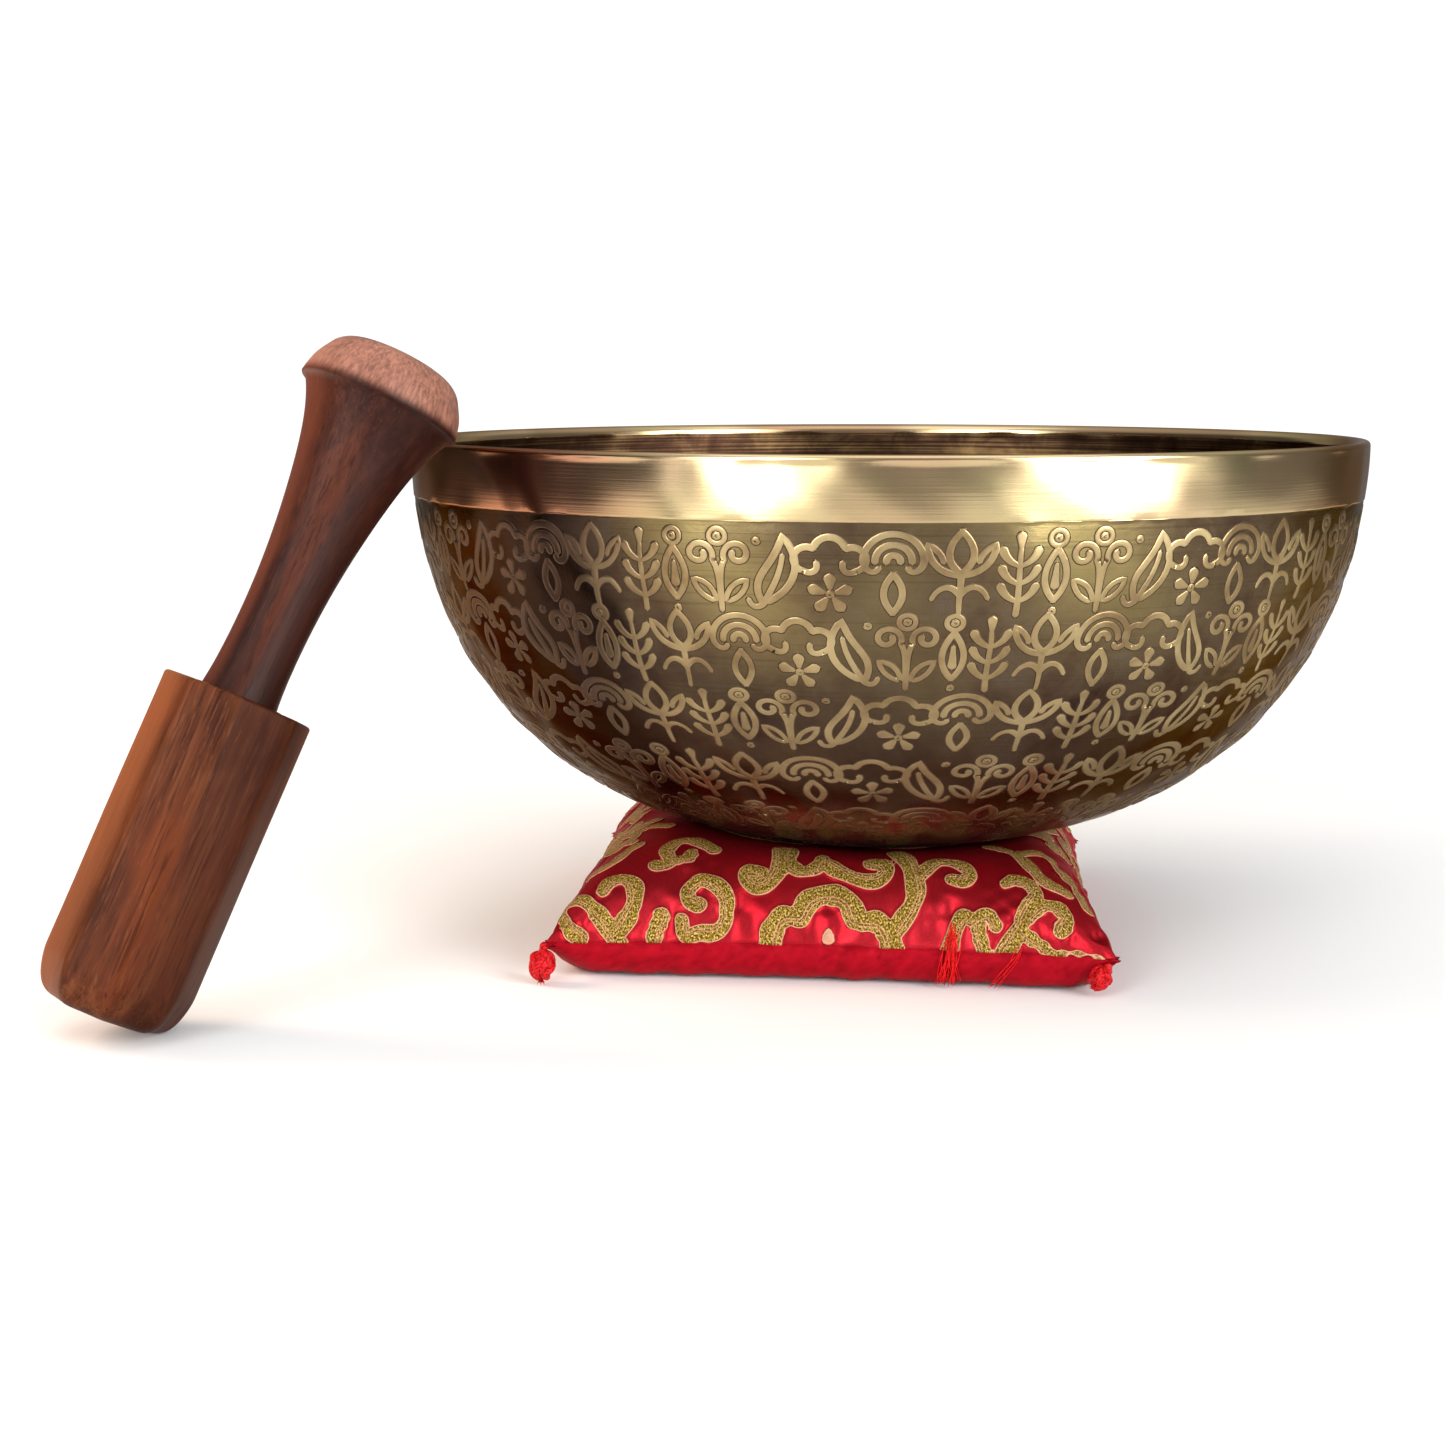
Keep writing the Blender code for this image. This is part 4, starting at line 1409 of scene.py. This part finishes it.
def joined_tubes(name, tubes, material):
    """One piece of many tubes, kept above the table."""
    vertices, faces, plies = [], [], []
    count = 0
    for points, quads, ply in tubes:
        vertices.append(points)
        faces += [[corner + count for corner in quad] for quad in quads]
        plies.append(ply)
        count += len(points)
    vertices = np.concatenate(vertices)
    vertices[:, 2] = np.maximum(vertices[:, 2], 0.05 * MM)
    piece = mesh_object(name, vertices, faces, [material])
    store(piece, "ply", np.concatenate(plies))
    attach(piece, "cushion")
    return piece


# A knot's radius over its length, and the strands of its frayed end.
KNOT_GIRTH = 0.27
KNOT_STRANDS = 16


def knot_tubes(top, way, length, draw):
    """A woven knot on a short neck, with a frayed end, hanging from top along way."""
    side = np.cross(way, (0, 0.2, 1.0))
    side /= np.linalg.norm(side)
    axes = np.stack([side, np.cross(way, side), way])
    t = np.linspace(0, 2 * math.pi, 150, endpoint=False)
    rise = np.arcsin(np.sin(4 * t) * 0.93)
    radius = length * KNOT_GIRTH * (1 + 0.14 * np.sin(8 * t))
    weave = polar(radius * np.cos(rise) * 0.92, 3 * t, length * 0.5 + radius * 1.12 * np.sin(rise))
    core = polar(0.0, 0.0, np.linspace(0.12, 0.86, 12) * length)
    swell = np.sin(np.linspace(0.15, math.pi - 0.15, 12)) * length * KNOT_GIRTH
    neck = np.stack([np.zeros(8), 0.2 * MM * np.sin(np.linspace(0, 3, 8)),
                     np.linspace(-0.12, 0.3, 8) * length], axis=-1)
    tubes = [tube(top + weave @ axes, 0.95 * MM, 8, 3, closed=True),
             capped_tube(top + core @ axes, np.maximum(swell, 0.3 * MM), 10, 3),
             pointed_tube(top + neck @ axes, 1.15 * MM, 10, 3)]
    t = np.linspace(0, 1, 5)
    for strand in range(KNOT_STRANDS):
        angle = draw.uniform(0, 2 * math.pi)
        spread = draw.uniform(0.2, 1.5) * MM
        line = polar(spread * t, angle, length * (0.82 + draw.uniform(0.1, 0.22) * t))
        tubes.append(pointed_tube(top + line @ axes, 0.13 * MM, 4, 1))
    return tubes


def corner_tip(u, v):
    return np.array((*seam_outline(u, v), SEAM_HEIGHT - SEAM_CORNER_DROP))


# How far each knot is pulled from its corner by its own thread, millimetres.
KNOT_NUDGES = {
    "corner_knot_front_left": (0, 0, 0),
    "corner_knot_front_right": (-3, -1.4, -0.8),
    "corner_knot_back_left": (4, 0.5, -1),
    "corner_knot_back_right": (-4, 0.5, -1),
}


def make_corner_knots(material):
    draw = np.random.default_rng(17)
    for end, v in (("front", -1), ("back", 1)):
        for side, u in (("left", -1), ("right", 1)):
            node = f"corner_knot_{end}_{side}"
            low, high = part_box(node)
            tip = corner_tip(u, v)
            way = np.array((low + high) / 2) - tip
            top = tip + way * 0.1 + np.array(KNOT_NUDGES[node]) * MM
            reach = np.linalg.norm(way)
            tubes = knot_tubes(top, way / reach, reach * 2 - 0.4 * MM, draw)
            knot = joined_tubes(f"{node}_woven", tubes, material)
            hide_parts(node)


def front_face(*grids):
    """Gives the foremost y of the cushion at an x and a height."""
    points = np.concatenate([grid.reshape(-1, 3) for grid in grids])
    points = points[points[:, 1] < CUSHION_CENTRE.y - 0.6 * CUSHION_HALF]

    def foremost(x, z):
        near = (np.abs(points[:, 0] - x) < 1.6 * MM) & (np.abs(points[:, 2] - z) < 1.6 * MM)
        return points[near, 1].min()
    return foremost


def loose_thread(draw, foremost, start, end, sway):
    """One fine thread lying down the cushion's front to the table."""
    t = np.linspace(0, 1, 8)
    swing = sway * np.sin(t * math.pi * draw.uniform(0.8, 1.8)) * draw.uniform(-1, 1)
    x = start[0] + (end[0] - start[0]) * t + swing
    z = start[1] + (end[1] - start[1]) * t
    stand_off = 0.3 * MM + draw.uniform(0, 1) * MM * t + draw.uniform(0, 0.8) * MM * np.sin(t * math.pi)
    y = np.array([foremost(px, max(pz, 1.2 * MM)) for px, pz in zip(x, z)]) - stand_off
    y[1:-1] = (y[:-2] + y[1:-1] * 2 + y[2:]) / 4 - 0.15 * MM
    path = smooth_line(np.stack([x, y, z], axis=-1), 3)
    return pointed_tube(path, draw.uniform(0.1, 0.16) * MM, 4, 1)


def make_loose_threads(material, foremost):
    """A frayed tuft on the front seam and a few strays beside it, each under 25 mm long."""
    draw = np.random.default_rng(29)
    tubes = []
    for strand in range(30):
        start = ((21.2 + draw.normal() * 0.9) * MM, (17 + draw.uniform(-4, 2)) * MM)
        end = ((19.6 + draw.normal() * 2.0) * MM, draw.uniform(0.2, 1.6) * MM)
        tubes.append(loose_thread(draw, foremost, start, end, 1.2 * MM))
    for strand in range(4):
        start = ((39.5 + draw.normal() * 0.8) * MM, (12 + draw.uniform(-1, 2)) * MM)
        end = ((33 + draw.normal() * 0.8) * MM, 0.3 * MM)
        tubes.append(loose_thread(draw, foremost, start, end, 1.5 * MM))
    joined_tubes("loose_threads", tubes, material)


# ---------------------------------------------------------------- camera, floor and lights

CAMERA_LENS = 58.11
CAMERA_PLACE = (0.0070, -0.7016, RIM_HEIGHT + 0.02203)
CAMERA_TURN = math.radians(4.5)
CAMERA_PITCH = math.radians(8.795)
FLOOR_RADIUS = 1.2
FLOOR_SIDES = 96
BACKDROP = 1.1
# The room's brightness near the floor and overhead, and the heights in degrees between which it changes.
ROOM = 0.34
CEILING = 0.8
CEILING_RISE = (15, 60)
# Windows and darker corners of the room, in degrees: azimuth from the front, half width, lowest, highest;
# then strength.
ROOM_PATCHES = (
    (-29.5, 12, -14, 36, 7.5),
    (51.5, 16, -14, 36, 10.5),
    (-92, 44, -30, 30, -0.25),
    (108, 28, -30, 34, -0.16),
)


def aimed(thing, look):
    """A new object that holds a camera or a lamp, looking along a direction."""
    made = bpy.data.objects.new(thing.name, thing)
    bpy.context.scene.collection.objects.link(made)
    made.rotation_mode = "QUATERNION"
    made.rotation_quaternion = look.to_track_quat("-Z", "Y")
    return made


def make_camera():
    data = bpy.data.cameras.new("camera")
    data.sensor_width = 36
    data.lens = CAMERA_LENS
    level = math.cos(CAMERA_PITCH)
    look = Vector((-math.sin(CAMERA_TURN) * level, math.cos(CAMERA_TURN) * level, -math.sin(CAMERA_PITCH)))
    camera = aimed(data, look)
    camera.location = CAMERA_PLACE
    bpy.context.scene.camera = camera


def make_floor():
    """A round pale floor that fades into the backdrop well outside the set."""
    edge = polar(FLOOR_RADIUS, round_turn(FLOOR_SIDES), 0.0)
    faces = [[0, 1 + side, 1 + (side + 1) % FLOOR_SIDES] for side in range(FLOOR_SIDES)]
    shade = Shade("floor_paper")
    distance = shade.node("VectorMath", shade.place, operation="LENGTH").outputs["Value"]
    solid = shade.minus(1.0, shade.step(distance, 0.5 * FLOOR_RADIUS, 0.96 * FLOOR_RADIUS))
    paper = shade.finish(Base_Color=(0.88, 0.88, 0.88), Roughness=0.85, Alpha=solid, Specular_IOR_Level=0.1)
    floor = mesh_object("floor", np.concatenate([[(0, 0, 0)], edge]), faces, [paper])


def area_light(name, azimuth, distance, height, size, power, colour=(1, 1, 1), target=(0, 0, 0.1),
               reflected=True):
    """A soft panel; azimuth 0 is in front and -90 to the left."""
    data = bpy.data.lights.new(name, "AREA")
    data.shape = "RECTANGLE"
    data.size, data.size_y = size
    data.energy = power
    data.color = colour
    angle = math.radians(azimuth)
    place = Vector((distance * math.sin(angle), -distance * math.cos(angle), height))
    lamp = aimed(data, Vector(target) - place)
    lamp.location = place
    lamp.visible_glossy = reflected


def make_world():
    """A soft room round the set, with a plain backdrop for the camera."""
    world = bpy.data.worlds.new("studio")
    world.use_nodes = True
    sky = Nodes(world.node_tree)
    way = sky.node("SeparateXYZ", sky.node("TexCoord").outputs["Generated"])
    azimuth = sky.math("ARCTAN2", way.outputs[0], sky.times(way.outputs[1], -1.0))
    height = sky.math("ARCSINE", way.outputs[2])

    def between(value, low, high, soft):
        """1 from low to high, fading over soft degrees on both sides of each."""
        low, high, soft = np.radians((low, high, soft)).tolist()
        return sky.minus(sky.step(value, low - soft, low + soft), sky.step(value, high - soft, high + soft))

    low, high = np.radians(CEILING_RISE).tolist()
    total = sky.node("MapRange", height, low, high, ROOM, CEILING).outputs[0]
    for centre, half, lowest, highest, strength in ROOM_PATCHES:
        across = between(azimuth, centre - half, centre + half, 8)
        patch = sky.times(across, between(height, lowest, highest, 9))
        total = sky.math("MULTIPLY_ADD", patch, strength, total)
    seen = sky.node("LightPath").outputs["Is Camera Ray"]
    background = sky.tree.nodes["Background"]
    sky.feed(background.inputs["Strength"], sky.node("Mix", seen, None, total, BACKDROP).outputs[0])
    sky.feed(background.inputs["Color"], (1, 1, 1))
    bpy.context.scene.world = world
    bpy.context.scene.view_settings.view_transform = "Standard"


def make_studio():
    make_world()
    make_floor()
    area_light("top_soft", 10, 0.4, 1.7, (1.8, 1.4), 7)
    area_light("warm_left", -92, 0.75, 0.34, (0.25, 0.4), 5, (1, 0.74, 0.54), (-0.2, -0.13, 0.08), False)


def make_ornament():
    materials = ornament_materials()
    for row in ORNAMENT_ROWS:
        make_ornament_row(*row, materials)


make_camera()
make_bowl(bowl_material())
make_ornament()
make_mallet()
front = front_face(*make_cushion())
make_corner_knots(cord_material("knot_cord", (0.2, 0.0, 0.003), (0.62, 0.004, 0.007)))
make_loose_threads(cord_material("loose_thread", (0.6, 0.002, 0.004), (0.85, 0.006, 0.008)), front)
make_studio()
